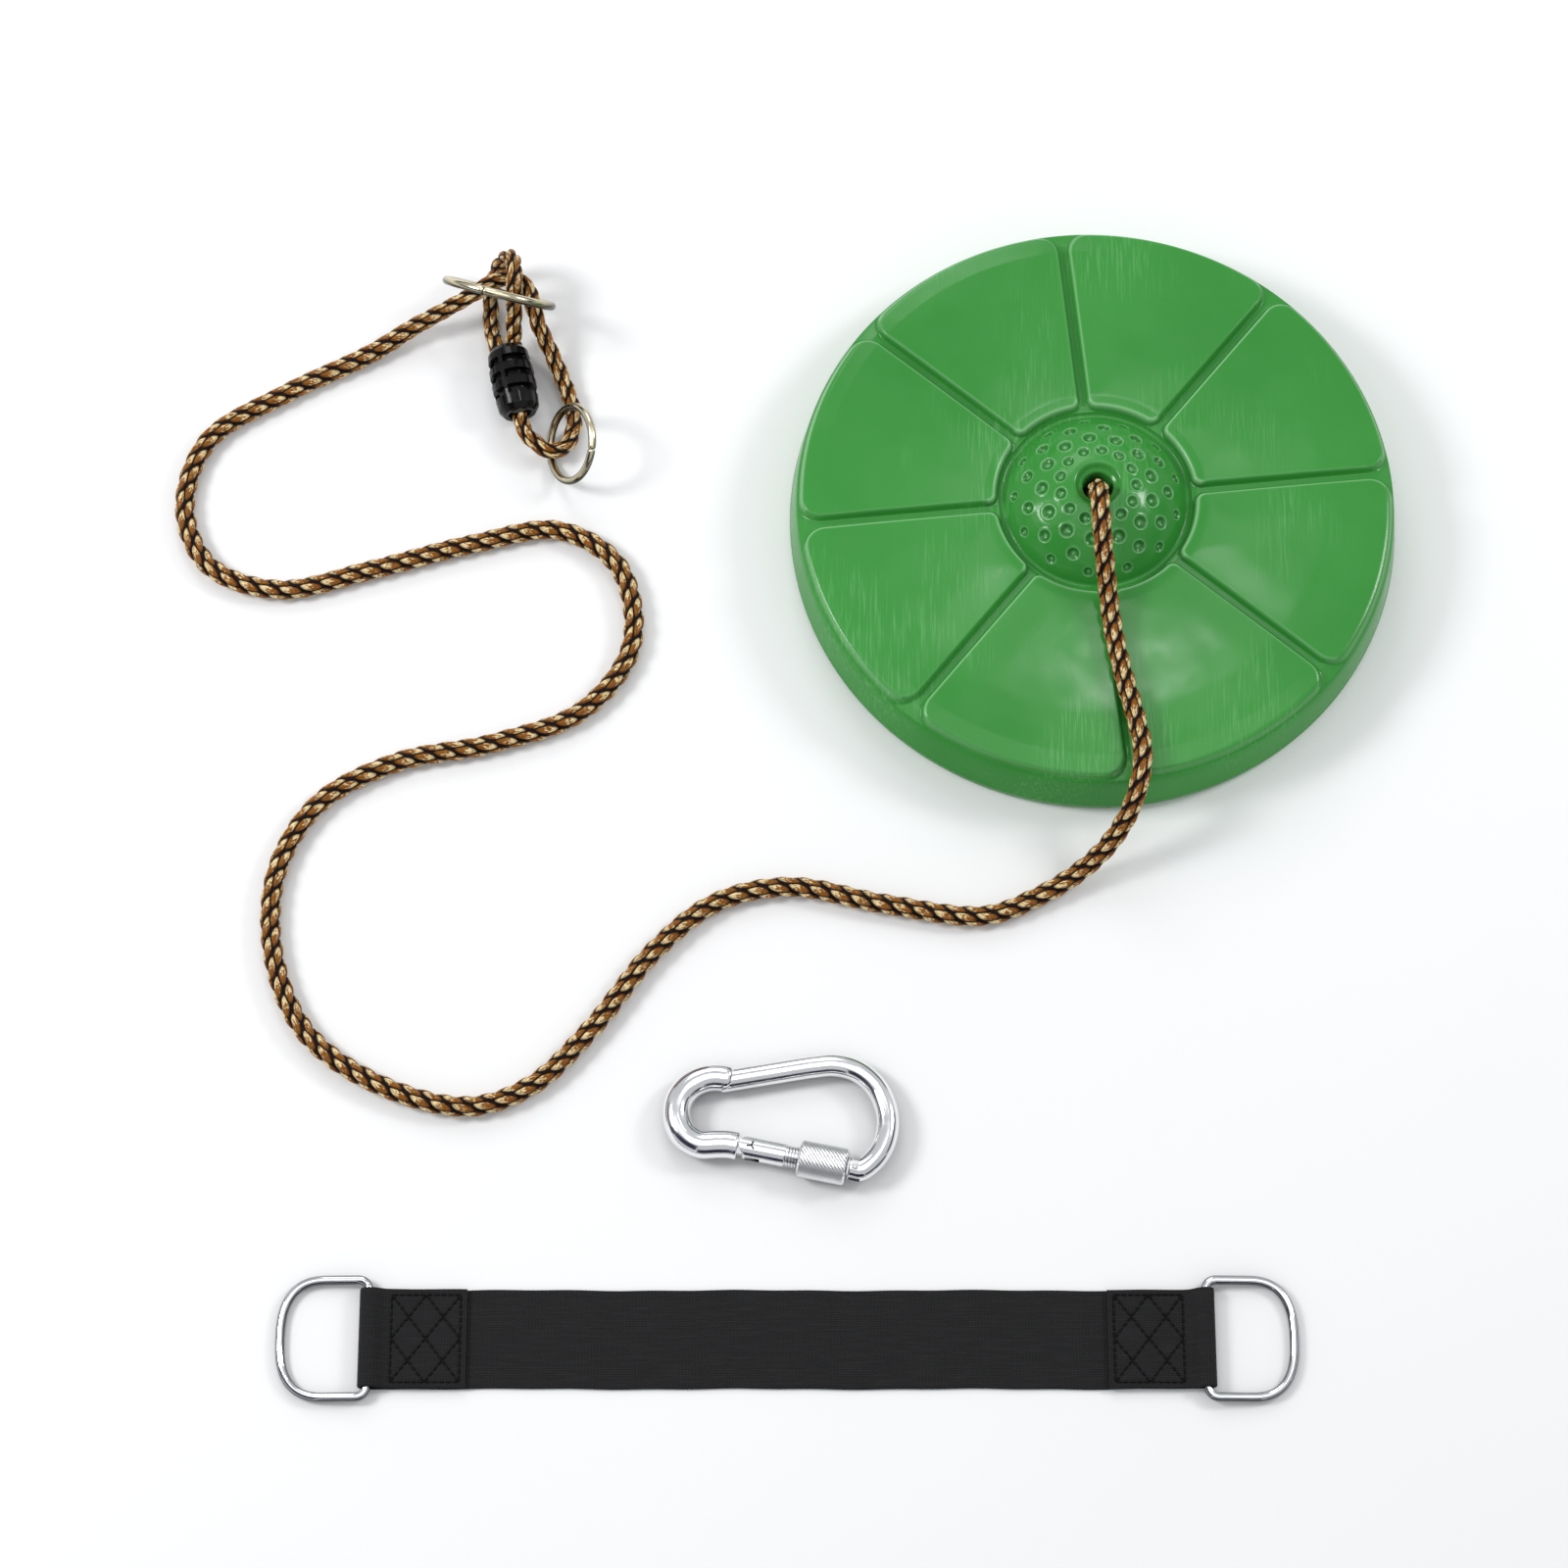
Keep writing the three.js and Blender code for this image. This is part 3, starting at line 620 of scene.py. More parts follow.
def leaves(along, angle, radius):
    """The nearest stitch of the braid at each point: its height and the place on it."""
    scale = radius / ROPE_RADIUS
    width = TURN / LEAF_COLUMNS
    best = np.full(np.broadcast(along, angle).shape, 9.0)
    second = best.copy()
    spot = np.zeros((*best.shape, 3))
    for side in (-1, 0, 1):
        column = np.floor(angle / width) + side
        offset = 0.5 * np.mod(column, 2)
        for step in (-1, 0, 1):
            row = np.floor(along / LEAF_PITCH - offset) + step
            ds = along - (row + 0.5 + offset) * LEAF_PITCH
            dx = ROPE_RADIUS * (angle - (column + 0.5) * width)
            u = ds * math.cos(LEAF_TILT) + dx * math.sin(LEAF_TILT)
            v = -ds * math.sin(LEAF_TILT) + dx * math.cos(LEAF_TILT)
            far = (u / LEAF_HALF[0]) ** 2 + (v / LEAF_HALF[1]) ** 2
            number = np.mod(np.sin(np.mod(column, LEAF_COLUMNS) * 12.98 + row * 78.23) * 437.5, 1)
            near = far < best
            second = np.where(near, best, np.minimum(second, far))
            best = np.where(near, far, best)
            spot = np.where(near[..., None], np.stack([u, v, number + 0 * u], -1), spot)
    seam = np.clip((second - best) / LEAF_SEAM, 0, 1)
    height = np.sqrt(np.clip(1 - 0.82 * best, 0, 1)) * np.sqrt(seam * (2 - seam))
    return height, spot * np.stack([scale, scale, 1 + 0 * scale], -1)


def braid(name, line, radius, start=0.0):
    """The rope's skin along a line of points; radius is one number per point."""
    along = start + np.arange(len(line))[:, None] * np.linalg.norm(line[1] - line[0])
    angle = angles_round(ROPE_SIDES)[None, :]
    radius = np.asarray(radius, float).reshape(-1, 1) * np.ones((len(line), 1))
    height, spot = leaves(along, angle, radius)
    skin = radius * (1 - LEAF_RELIEF * (1 - height))
    points, quads, triangles = swept(line, skin, ROPE_SIDES)
    ends = np.zeros((2, 3))
    relief = np.vstack([np.stack([height, height, height], -1).reshape(-1, 3), ends])
    return make(name, points, quads, triangles, ROPE, sharp=180, fields={
        "leaf": np.vstack([spot.reshape(-1, 3), ends]), "relief": relief,
    })


rope_line = catmull_rom([*ROPE_ROUTE, *ADJUSTER_ROUTE], ROPE_STEP)
travelled = np.arange(len(rope_line)) * np.linalg.norm(rope_line[1] - rope_line[0])
tightening = smoothstep(LOOSE_LENGTH - 40, LOOSE_LENGTH + 25, travelled)
rope_radii = ROPE_RADIUS + (TIGHT_RADIUS - ROPE_RADIUS) * tightening
rope = braid("rope", rope_line, rope_radii)
place(rope, "rope_rig", ["rope_main", "rope_adjuster_loop"])
eye_line = catmull_rom(EYE_ROUTE, ROPE_STEP)
eye = braid("rope_eye_loop", eye_line, np.full(len(eye_line), TIGHT_RADIUS), start=2000)
place(eye, "rope_rig", ["rope_eye"])


def stopper_knot():
    """A tight trefoil under the seat, where the rope ends."""
    t = np.linspace(0, TURN, 140, endpoint=False)
    reach = 5.4 + 2.6 * np.cos(3 * t)
    line = np.stack([
        SEAT_CENTRE[0] + reach * np.cos(2 * t), SEAT_CENTRE[1] + reach * np.sin(2 * t),
        12 + 4.8 * np.sin(3 * t),
    ], -1)
    line = resampled(np.vstack([line, line[:1]]), ROPE_STEP)
    return braid("rope_knot", line, np.full(len(line), TIGHT_RADIUS))


place(stopper_knot(), "rope_rig", ["stopper_knot"])

# ---------------------------------------------------------------- seat
HUB_PROFILE = [
    (BORE_RADIUS, 24), (BORE_RADIUS, 47), (7.5, 49.4), (7.8, 50.6), (8.7, 51.2), (9.7, 51.7),
    (10.5, 52.7), (11.4, 53.8), (12.6, 54.25), (14.2, 54.1), (17, 53.3), (21, 52), (25, 50.2),
    (29, 48.2), (33, 45.7), (36, 43.4), (39, 40.8), (42, 37.5), (44.2, 34.4), (45.6, 32.3),
    (46.8, 31.7), (48, 32.2), (49, 33.4),
]
PETAL_TOP = [
    (49, 36.4), (51.5, 37.5), (56, 37.9), (80, 38.2), (115, 38.2), (138, 37.6), (146, 36.9),
    (148.3, 36.2), (RIM_RADIUS, 34.8), (152, 30),
]
SKIRT_PROFILE = [
    (150.4, 32.6), (150.9, 30), (151.5, 26), (152.3, 20), (153.1, 13.5), (153.7, 9), (153.75, 8.2),
    (154, 7.6), (154, 6.9), (153.75, 6.3), (153.8, 4.2), (153.4, 2.2), (152.3, 0.7), (150.8, 0.05),
]
BASE_PROFILE = [
    (150.6, 0), (135, 0), (118, 0), (115.5, 1.2), (113, 4), (110, 4.6), (95, 5), (76, 5.3),
    (58, 5.7), (45, 6), (41.5, 7.4), (38, 13), (34.5, 19), (32.5, 21.2), (29, 22), (18, 22),
    (9, 22), (BORE_RADIUS, 22.4), (BORE_RADIUS, 24),
]
# rings of round dimples in the hub: distance from the middle, radius, share of a step turned
DIMPLE_RINGS = [(19.3, 3.1, 0.0), (28.0, 3.6, 0.5), (35.8, 3.3, 0.0), (41.4, 2.6, 0.5)]
DIMPLES_ROUND = 13
PETAL_INNER, PETAL_OUTER = 49.2, 150.3  # first and last row of the top
PETAL_STEP, SHOULDER_STEP = 2.4, 0.55  # between rows, where flat and where rounded
HUB_STEP = 0.42
DIMPLE_DEPTH = 0.42  # share of a dimple's radius


def petal_angles():
    """Angles round the seat, closer together at the grooves."""
    t = np.linspace(0, 1, 96, endpoint=False)
    eased = t - 0.62 * np.sin(TURN * t) / TURN
    step = TURN / PETALS
    start = math.radians(GROOVE_ANGLE)
    return np.concatenate([start + (k + eased) * step for k in range(PETALS)])


def from_petal_edge(r, angle):
    """How far inside its petal a point is, with the petal's corners rounded off."""
    step = TURN / PETALS
    off = np.mod(angle - math.radians(GROOVE_ANGLE), step)
    side = r * np.sin(np.minimum(off, step - off)) - GROOVE_HALF
    outer = RIM_RADIUS + 0.2 - r
    inner = r - MOAT_RADIUS
    best = np.minimum(side, np.minimum(outer, inner))
    for edge, corner in ((outer, 12.0), (inner, 5.0)):
        near = (side < corner) & (edge < corner)
        rounded = corner - np.hypot(corner - side, corner - edge)
        best = np.where(near, np.minimum(best, rounded), best)
    return best


def seat_mesh():
    angle = petal_angles()
    hub = np.array(HUB_PROFILE, float)
    t = np.concatenate([[0], np.cumsum(np.hypot(*np.diff(hub, axis=0).T))])
    fine = np.concatenate([np.linspace(0, 26, 8), np.arange(26.4, t[-1], HUB_STEP)])
    hub = np.stack([np.interp(fine, t, hub[:, 0]), np.interp(fine, t, hub[:, 1])], 1)
    for _ in range(3):  # eases the profile's corners
        hub[9:-1, 1] = (hub[8:-2, 1] + 2 * hub[9:-1, 1] + hub[10:, 1]) / 4
    radii = np.concatenate([
        np.arange(PETAL_INNER, 56, SHOULDER_STEP), np.arange(56, 136, PETAL_STEP),
        np.arange(136, PETAL_OUTER, SHOULDER_STEP),
    ])
    top_r, top_z = np.array(PETAL_TOP, float).T
    rows, painted_highlight = [], [np.zeros(len(angle)) for _ in hub]
    dark = [np.zeros(len(angle)) for _ in hub]
    step = TURN / PETALS
    nearer = np.mod(angle - math.radians(GROOVE_ANGLE), step) < step / 2
    edge_faces = angle + np.where(nearer, -1, 1) * math.pi / 2
    for r, z in hub:
        rows.append(np.stack([np.full(len(angle), r), np.full(len(angle), z)], 1))
    for r in radii:
        inside = from_petal_edge(r, angle)
        rise = smoothstep(-0.3, 2.1, inside)
        crown = 0.25 * smoothstep(0, 22, inside)
        floor = min(GROOVE_FLOOR, 33.0 + 0.4 * (r - 49))
        if r > 143:
            floor -= 0.16 * (r - 143) ** 1.3
        top = np.interp(r, top_r, top_z)
        z = floor + (np.maximum(top, floor) - floor) * rise + crown * rise
        rows.append(np.stack([np.full(len(angle), r), z], 1))
        # light drawn on the petals' shoulders, most where they face the back of the picture
        faces = np.where(r > 146, angle, np.where(r < 54, angle + math.pi, edge_faces))
        shine = 0.55 + 0.45 * np.cos(faces - math.radians(125))
        by_hub = 1 - smoothstep(53, 57, r)
        shine = shine + by_hub * (1.1 - shine)
        painted_highlight.append(shine * np.exp(-(((inside - 1.75) / (0.55 + 0.25 * by_hub)) ** 2)))
        # shade drawn on the walls round the hub, on its left and right
        dark.append(1.1 * by_hub * np.cos(angle) ** 2 * np.exp(-(((inside - 0.3) / 0.8) ** 2)))
    edge = rows[-1][:, 1]
    for r, z in SKIRT_PROFILE:
        rows.append(np.stack([np.full(len(angle), r), np.minimum(z, edge - 0.2)], 1))
    for r, z in BASE_PROFILE:
        rows.append(np.stack([np.full(len(angle), r), np.full(len(angle), z)], 1))
    grid = np.stack(rows)  # row, angle, (r, z)
    count = len(rows)
    r, z = grid[..., 0], grid[..., 1]
    turn = np.broadcast_to(angle, r.shape)
    points = np.stack([r * np.cos(turn), r * np.sin(turn), z], -1)
    # dimples are pressed in along the hub's own normal
    slope = np.gradient(z[: len(hub), 0], r[: len(hub), 0] + np.arange(len(hub)) * 1e-6)
    for i in range(9, len(hub)):
        down = np.array([-slope[i], 1.0]) / math.hypot(slope[i], 1)
        depth = np.zeros(len(angle))
        for distance, radius, shift in DIMPLE_RINGS:
            level = np.interp(distance, hub[9:, 0], hub[9:, 1])
            for k in range(DIMPLES_ROUND):
                a = TURN * (k + shift) / DIMPLES_ROUND
                middle = (distance * math.cos(a), distance * math.sin(a), level)
                away = np.linalg.norm(points[i] - middle, axis=1) / radius
                bowl = np.clip(1 - away**2, 0, 1) * DIMPLE_DEPTH * radius
                lip = np.exp(-(((away - 1.10) / 0.13) ** 2))
                depth += bowl - 0.14 * lip
                # painted highlight on each dimple's rim and a painted glint in its middle, with
                # painted shade inside it
                ring = np.exp(-(((away - 1.04) / 0.10) ** 2))
                dot = np.exp(-((away / 0.22) ** 2))
                painted_highlight[i] = np.maximum(painted_highlight[i], np.maximum(0.6 * ring, 0.75 * dot))
                dark[i] = np.maximum(dark[i], np.exp(-(((away - 0.62) / 0.28) ** 2)))
        points[i, :, 0] -= depth * down[0] * np.cos(angle)
        points[i, :, 1] -= depth * down[0] * np.sin(angle)
        points[i, :, 2] -= depth * down[1]
    below = [np.zeros(len(angle))] * (count - len(painted_highlight))  # the skirt and the underside
    painted_highlight, dark = np.concatenate(painted_highlight + below), np.concatenate(dark + below)
    fields = {"drawn_light": np.stack([painted_highlight, dark, np.zeros(len(painted_highlight))], 1)}
    quads = grid_quads(count, len(angle))
    made = make("seat_disc", points.reshape(-1, 3) + SEAT_CENTRE, quads, (), GREEN, 60, fields)
    made.data.materials.append(GREEN_SIDE)
    finish = np.zeros(len(quads), np.int32)
    finish[(len(hub) + len(radii)) * len(angle):] = 1
    made.data.polygons.foreach_set("material_index", finish)
    return made


place(seat_mesh(), "seat", ["seat_shell"])


# ---------------------------------------------------------------- ferrule and rings
SLOT_LEVELS = (0.24, 0.47, 0.70)
SLOT_HEIGHT = 4.0
SLOT_HALF_ANGLE = math.radians(38)
SLOT_TURN = math.radians(20)
SLOT_DEPTH = 3.0
BARREL_STEP = 0.3


def barrel():
    axis = BARREL_TOP - BARREL_FOOT
    length = float(np.linalg.norm(axis))
    axis = axis / length
    up = np.array([0, 0, 1.0])
    across = np.cross(axis, up)
    outline = [
        (5.9, 2.2), (5.9, 0.5), (6.3, 0.05), (7.9, 0.0), (8.4, 0.25), (10.1, 2.6), (10.45, 3.2),
        (11.3, length * 0.3), (11.6, length / 2), (11.3, length * 0.7), (10.45, length - 3.2),
        (10.1, length - 2.6), (8.4, length - 0.25), (7.9, length), (6.9, length - 0.05),
        (6.5, length - 0.5), (6.5, length - 2.2),
    ]
    outline = refined(outline, BARREL_STEP)
    sides = 192
    angle = angles_round(sides)
    off = np.mod(angle - SLOT_TURN + math.pi / 4, math.pi / 2) - math.pi / 4
    across_slot = (SLOT_HALF_ANGLE - np.abs(off)) * 11
    field = np.zeros((len(outline), sides))
    for level in SLOT_LEVELS:
        middle = level * length + SLOT_HEIGHT / 2
        along_slot = SLOT_HEIGHT / 2 - np.abs(outline[:, 1] - middle)
        inside = np.minimum(along_slot[:, None], across_slot[None, :])
        field -= SLOT_DEPTH * smoothstep(-0.18, 0.35, inside)
    field[outline[:, 0] < 9.5] = 0
    points, quads, triangles = turned(outline, sides, field)
    basis = np.stack([up, across, axis])
    return make("ferrule", points @ basis + BARREL_FOOT, quads, triangles, BLACK, sharp=32)


def wire_ring(name, centre, radius, wire, turn, lean, upright, joint, stands_for):
    """A ring of round wire whose two ends meet, with a fine gap between them at the joint."""
    gap = 0.22 / radius
    ease = np.array([0, 0.12, 0.3, 0.55, 0.9]) / radius
    angle = np.concatenate([
        gap / 2 + ease, np.linspace(gap / 2 + 1.4 / radius, TURN - gap / 2 - 1.4 / radius, 180),
        (TURN - gap / 2 - ease)[::-1],
    ])
    shrink = np.array([0.62, 0.42, 0.24, 0.09, 0.02]) * 0.9
    radii = wire - np.concatenate([shrink, np.zeros(180), shrink[::-1]])
    angle = angle + math.radians(joint)
    line = np.stack([radius * np.cos(angle), radius * np.sin(angle), 0 * angle], -1)
    outward = line / radius
    frames = outward, np.broadcast_to((0, 0, 1.0), line.shape)
    points, quads, triangles = swept(line, radii, 24, frames=frames)
    spin = rotation("X", 90 + lean) if upright else rotation("Y", -lean)
    points = points @ (rotation("Z", turn) @ spin).T + np.array(centre)
    made = make(name, points, quads, triangles, RING_STEEL, sharp=50)
    return place(made, stands_for, [stands_for])


ferrule = place(barrel(), "rope_rig", ["adjuster_barrel"])
tension = wire_ring(
    "tension_wire", **TENSION_RING, upright=True, joint=96, stands_for="tension_ring"
)
hanging = wire_ring(
    "hanging_wire", **HANGING_RING, upright=False, joint=-35, stands_for="hanging_ring"
)

# ---------------------------------------------------------------- snap hook
def frame_at(origin, degrees, axis):
    return Matrix.Translation(Vector(origin)) @ Matrix.Rotation(math.radians(degrees), 4, axis)


HOOK_FRAME = frame_at(HOOK_PLACE, HOOK_TILT, "X")
GATE_FRAME = HOOK_FRAME @ frame_at((*PIVOT, 0), GATE_ANGLE, "Z")


def moved(matrix, points):
    matrix = np.array(matrix)
    return np.asarray(points) @ matrix[:3, :3].T + matrix[:3, 3]


def gate_box(name, *sides):
    points, quads = box_mesh(*sides)
    return make(name, moved(GATE_FRAME, points), quads, (), ZINC)


def on_gate(along):
    """A point on the gate's axis, in the hook's own plane."""
    a = math.radians(GATE_ANGLE)
    return PIVOT[0] + along * math.cos(a), PIVOT[1] + along * math.sin(a), 0.0


def rounded_end(line, radius, round_start, round_end):
    """Radii along a rod whose ends are rounded off over the given lengths."""
    along = np.concatenate([[0], np.cumsum(np.linalg.norm(np.diff(line, axis=0), axis=1))])
    radii = np.full(len(line), float(radius))
    for length, away in ((round_start, along), (round_end, along[-1] - along)):
        if length:
            t = np.clip(1 - away / length, 0, 1)
            radii -= length * (1 - np.sqrt(1 - t**2))
    return radii


def hook_bar():
    line = catmull_rom([
        (-28, 16.9, 0), (-18, 18.6, 0), (0, 21.7, 0), (17.9, 24.6, 0), (28, 25.3, 0),
        (38.3, 22.4, 0), (47, 14.8, 0), (52, 4.5, 0), (53.2, -5, 0), (51, -15.5, 0),
        (46.2, -23, 0), on_gate(53.5), on_gate(51), on_gate(NOSE_START),
    ], 0.8)
    fine_end = line[-1] + (line[-2] - line[-1]) * np.array([0.55, 0.3, 0.12, 0])[:, None]
    line = np.vstack([line[:-1], fine_end])
    radii = rounded_end(line, HOOK_ROD, 0, 0.6)
    points, quads, triangles = swept(line, radii, 48)
    bar = make("hook_bar", moved(HOOK_FRAME, points), quads, triangles, ZINC)
    cutters = [
        gate_box("slot_cutter", GATE_SHOULDER, 54.2, -8, 8, -2.2, 2.2),
        gate_box("catch_cutter", PIN_AT - 1.7, PIN_AT + 1.7, -1.7, 9, -9, 9),
    ]
    return dress(carve(bar, cutters), ZINC)


def hook_eye():
    line = catmull_rom([
        (-21.6, 17.6, 0), (-28, 18.9, 0), (-34.5, 18.6, 0), (-42.6, 14.8, 0), (-48, 7.4, 0),
        (-49, -2, 0), (-45.4, -10.4, 0), (-38, -15, 0), (-29.5, -15, 0), on_gate(-11),
        on_gate(-6.3),
    ], 0.8)
    start = line[0] + (line[1] - line[0]) * np.array([0, 0.15, 0.4, 0.7])[:, None]
    end = line[-1] + (line[-2] - line[-1]) * np.array([0.7, 0.4, 0.15, 0])[:, None]
    line = np.vstack([start, line[1:-1], end])
    radii = rounded_end(line, EYE_ROD, 3.2, 0.9)
    points, quads, triangles = swept(line, radii, 48)
    return make("hook_small_eye", moved(HOOK_FRAME, points), quads, triangles, ZINC)


def hook_lug():
    points, quads, triangles = rod_mesh(4, (0, 0, -1.9), (0, 0, 1.9), 40, 0.2)
    lug = make("hook_lug", moved(GATE_FRAME, points), quads, triangles, ZINC)
    carve(lug, [gate_box("neck", -9, 0, -3.99, 3.99, -1.85, 1.85)], "UNION")
    return dress(carve(lug, [gate_box("flat", 3.2, 6, -5, 5, -3, 3)]), ZINC)


def gate():
    """The hollow gate: a rod with a round hinge end, a thread and a flat tongue at its far end."""
    x = np.unique(np.concatenate([
        -GATE_RADIUS * np.cos(np.linspace(0, math.pi / 2, 16)),
        np.arange(0, THREAD_START, 0.5), np.arange(THREAD_START, GATE_SHOULDER, THREAD_PITCH / 8),
        [GATE_SHOULDER],
    ]))
    sides = 72
    angle = angles_round(sides)
    phase = np.mod(x[:, None] / THREAD_PITCH - angle[None, :] / TURN, 1)
    ridge = 1 - np.abs(2 * phase - 1)
    thread = THREAD_ROOT + THREAD_HEIGHT * smoothstep(0.1, 0.9, ridge)
    radius = np.where(x[:, None] < THREAD_START, GATE_RADIUS, thread)
    radius = radius - 0.5 * smoothstep(GATE_SHOULDER - 0.8, GATE_SHOULDER, x)[:, None]
    # an oblong window low on the outer side
    middle, half, round_at = WINDOW
    window = np.hypot(
        np.maximum(np.abs(x - middle) - half, 0)[:, None], (angle - round_at)[None, :] * GATE_RADIUS
    )
    radius = radius - 2.2 * (1 - smoothstep(0.85, 1.25, window))
    points = about_x(x[:, None], radius, angle)
    limit = np.sqrt(np.clip(GATE_RADIUS**2 - np.minimum(x, 0) ** 2, 0, None))[:, None]
    points[..., 1] = np.clip(points[..., 1], -limit, limit)
    flat, quads, triangles = capped(
        points.reshape(-1, 3), grid_quads(len(x), sides), len(x), sides,
        (x[0], 0, 0), (x[-1], 0, 0),
    )
    # painted shade in the thread's grooves and in the window, handed to the steel as depth
    depth = np.where(x[:, None] > THREAD_START, 1 - smoothstep(0.0, 0.4, ridge), 0)
    depth = np.maximum(depth, 1 - smoothstep(0.85, 1.25, window))
    fields = {"depth": threefold(np.append(depth.ravel(), [0, 0]))}
    made = make("gate_tube", moved(GATE_FRAME, flat), quads, triangles, ZINC, fields=fields)
    made = carve(made, [gate_box("tongue", GATE_SHOULDER - 3, 53.4, -3.8, 3.8, -1.8, 1.8)], "UNION")
    made = carve(made, [gate_box("fork", -9, 4.9, -8, 8, -2.3, 2.3)])
    return dress(made, ZINC, 30)


def sleeve():
    """The knurled nut; its outline runs out along the bore, so it is closed on itself."""
    outline = [
        (SLEEVE_BORE, SLEEVE_START + 0.6), (SLEEVE_BORE + 0.5, SLEEVE_START),
        (SLEEVE_RADIUS - 0.9, SLEEVE_START), (SLEEVE_RADIUS - 0.15, SLEEVE_START + 0.9),
        (SLEEVE_RADIUS - 0.15, SLEEVE_END - 0.9), (SLEEVE_RADIUS - 0.9, SLEEVE_END),
        (SLEEVE_BORE + 0.5, SLEEVE_END), (SLEEVE_BORE, SLEEVE_END - 0.6),
    ]
    outline = refined(outline, SLEEVE_STEP)
    sides = 448
    angle = angles_round(sides)
    turned_teeth = angle[None, :] * KNURL_TEETH / TURN
    phase = np.mod(turned_teeth - outline[:, 1:] * KNURL_LEAN, 1)
    ridge = smoothstep(0.0, 0.45, 1 - np.abs(2 * phase - 1))
    cross_phase = np.mod(turned_teeth + outline[:, 1:] * KNURL_LEAN, 1)
    cross = smoothstep(0.0, 0.35, 1 - np.abs(2 * cross_phase - 1))
    outer = (outline[:, 0] > SLEEVE_RADIUS - 0.5)[:, None]
    field = np.where(outer, 0.38 * ridge + 0.07 * cross - 0.30, 0.0)
    radius = outline[:, :1] + field
    points = about_x(outline[:, 1:], radius, angle).reshape(-1, 3)
    # painted shade in the grooves between the knurl's teeth
    fields = {"depth": threefold(np.where(outer, 0.8 * (1 - ridge), 0))}
    quads = grid_quads(len(outline), sides, wrap_rows=True)
    return make("sleeve_nut", moved(GATE_FRAME, points), quads, (), ZINC, 30, fields)


def rivet():
    """Domed heads on both ends."""
    profile = [(0.5, -5.75), (1.3, -5.65), (2.0, -5.35), (2.2, -5.1), (1.6, -5.05)]
    profile += [(r, -z) for r, z in reversed(profile)]
    points, quads, triangles = turned(profile, 36)
    return make("hinge_rivet", moved(GATE_FRAME, points), quads, triangles, ZINC, sharp=50)


def peening_mark():
    """Three dark strokes that meet in the middle of the rivet's head."""
    points, quads = [], []
    for k in range(3):
        stroke, stroke_quads = box_mesh(0, 2.3, -0.4, 0.4, 5.3, 5.95)
        points.append(stroke @ rotation("Z", 75 + 120 * k).T)
        quads.append(stroke_quads + 8 * k)
    points = moved(GATE_FRAME, np.vstack(points))
    return make("peening_mark", points, np.vstack(quads), (), DARK_MARK)


def latch_pin():
    points, quads, triangles = rod_mesh(1.2, (PIN_AT, 0, -4.4), (PIN_AT, 0, 4.4), 28, 0.25)
    return make("latch_cross_pin", moved(GATE_FRAME, points), quads, triangles, ZINC)


place(hook_bar(), "snap_hook", ["hook_body"])
place(hook_eye(), "snap_hook")
place(hook_lug(), "snap_hook")
place(gate(), "hook_gate", ["gate"])
place(rivet(), "hook_gate", ["gate_rivet"])
place(peening_mark(), "hook_gate")
place(latch_pin(), "hook_gate", ["latch_pin"])
place(sleeve(), "sleeve", ["lock_sleeve"])
for node in ("gate_spring", "gate_plunger"):
    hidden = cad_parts[node]
    hidden.data.materials.clear()
    hidden.data.materials.append(BRIGHT)

# ---------------------------------------------------------------- hanging strap
LOOP_INNER = D_WIRE + 0.4
LOOP_OUTER = LOOP_INNER + STRAP_THICKNESS
LOOP_MIDDLE = (LOOP_INNER + LOOP_OUTER) / 2
TOP_MIDDLE = 1.5 * STRAP_THICKNESS + LAYER_GAP
STITCH_BOX = (156, 189, 21.1)  # nearest and farthest row from the middle, half width
EDGE_ROUND = 0.9
RIBBON_STEP = 0.9
STITCH_RADIUS = 0.42
STITCH_PITCH = 3.4


def stitch_lines():
    """The sewing on the right-hand doubled end: a box, a diamond in it and a cross."""
    near, far, half = STITCH_BOX
    middle = (near + far) / 2
    box = [((near, -half), (near, half)), ((far, -half), (far, half)),
           ((near, half), (far, half)), ((near, -half), (far, -half))]
    diamond = [((near, 0), (middle, half)), ((middle, half), (far, 0)),
               ((far, 0), (middle, -half)), ((middle, -half), (near, 0))]
    cross = [((near, -half), (far, half)), ((near, half), (far, -half))]
    return box + diamond + cross


def from_stitches(x, y):
    """How far points of the top layer are from the nearest row of stitches."""
    best = np.full(x.shape, 99.0)
    for (x0, y0), (x1, y1) in stitch_lines():
        dx, dy = x1 - x0, y1 - y0
        t = np.clip(((np.abs(x) - x0) * dx + (y - y0) * dy) / (dx * dx + dy * dy), 0, 1)
        best = np.minimum(best, np.hypot(np.abs(x) - x0 - t * dx, y - y0 - t * dy))
    return best


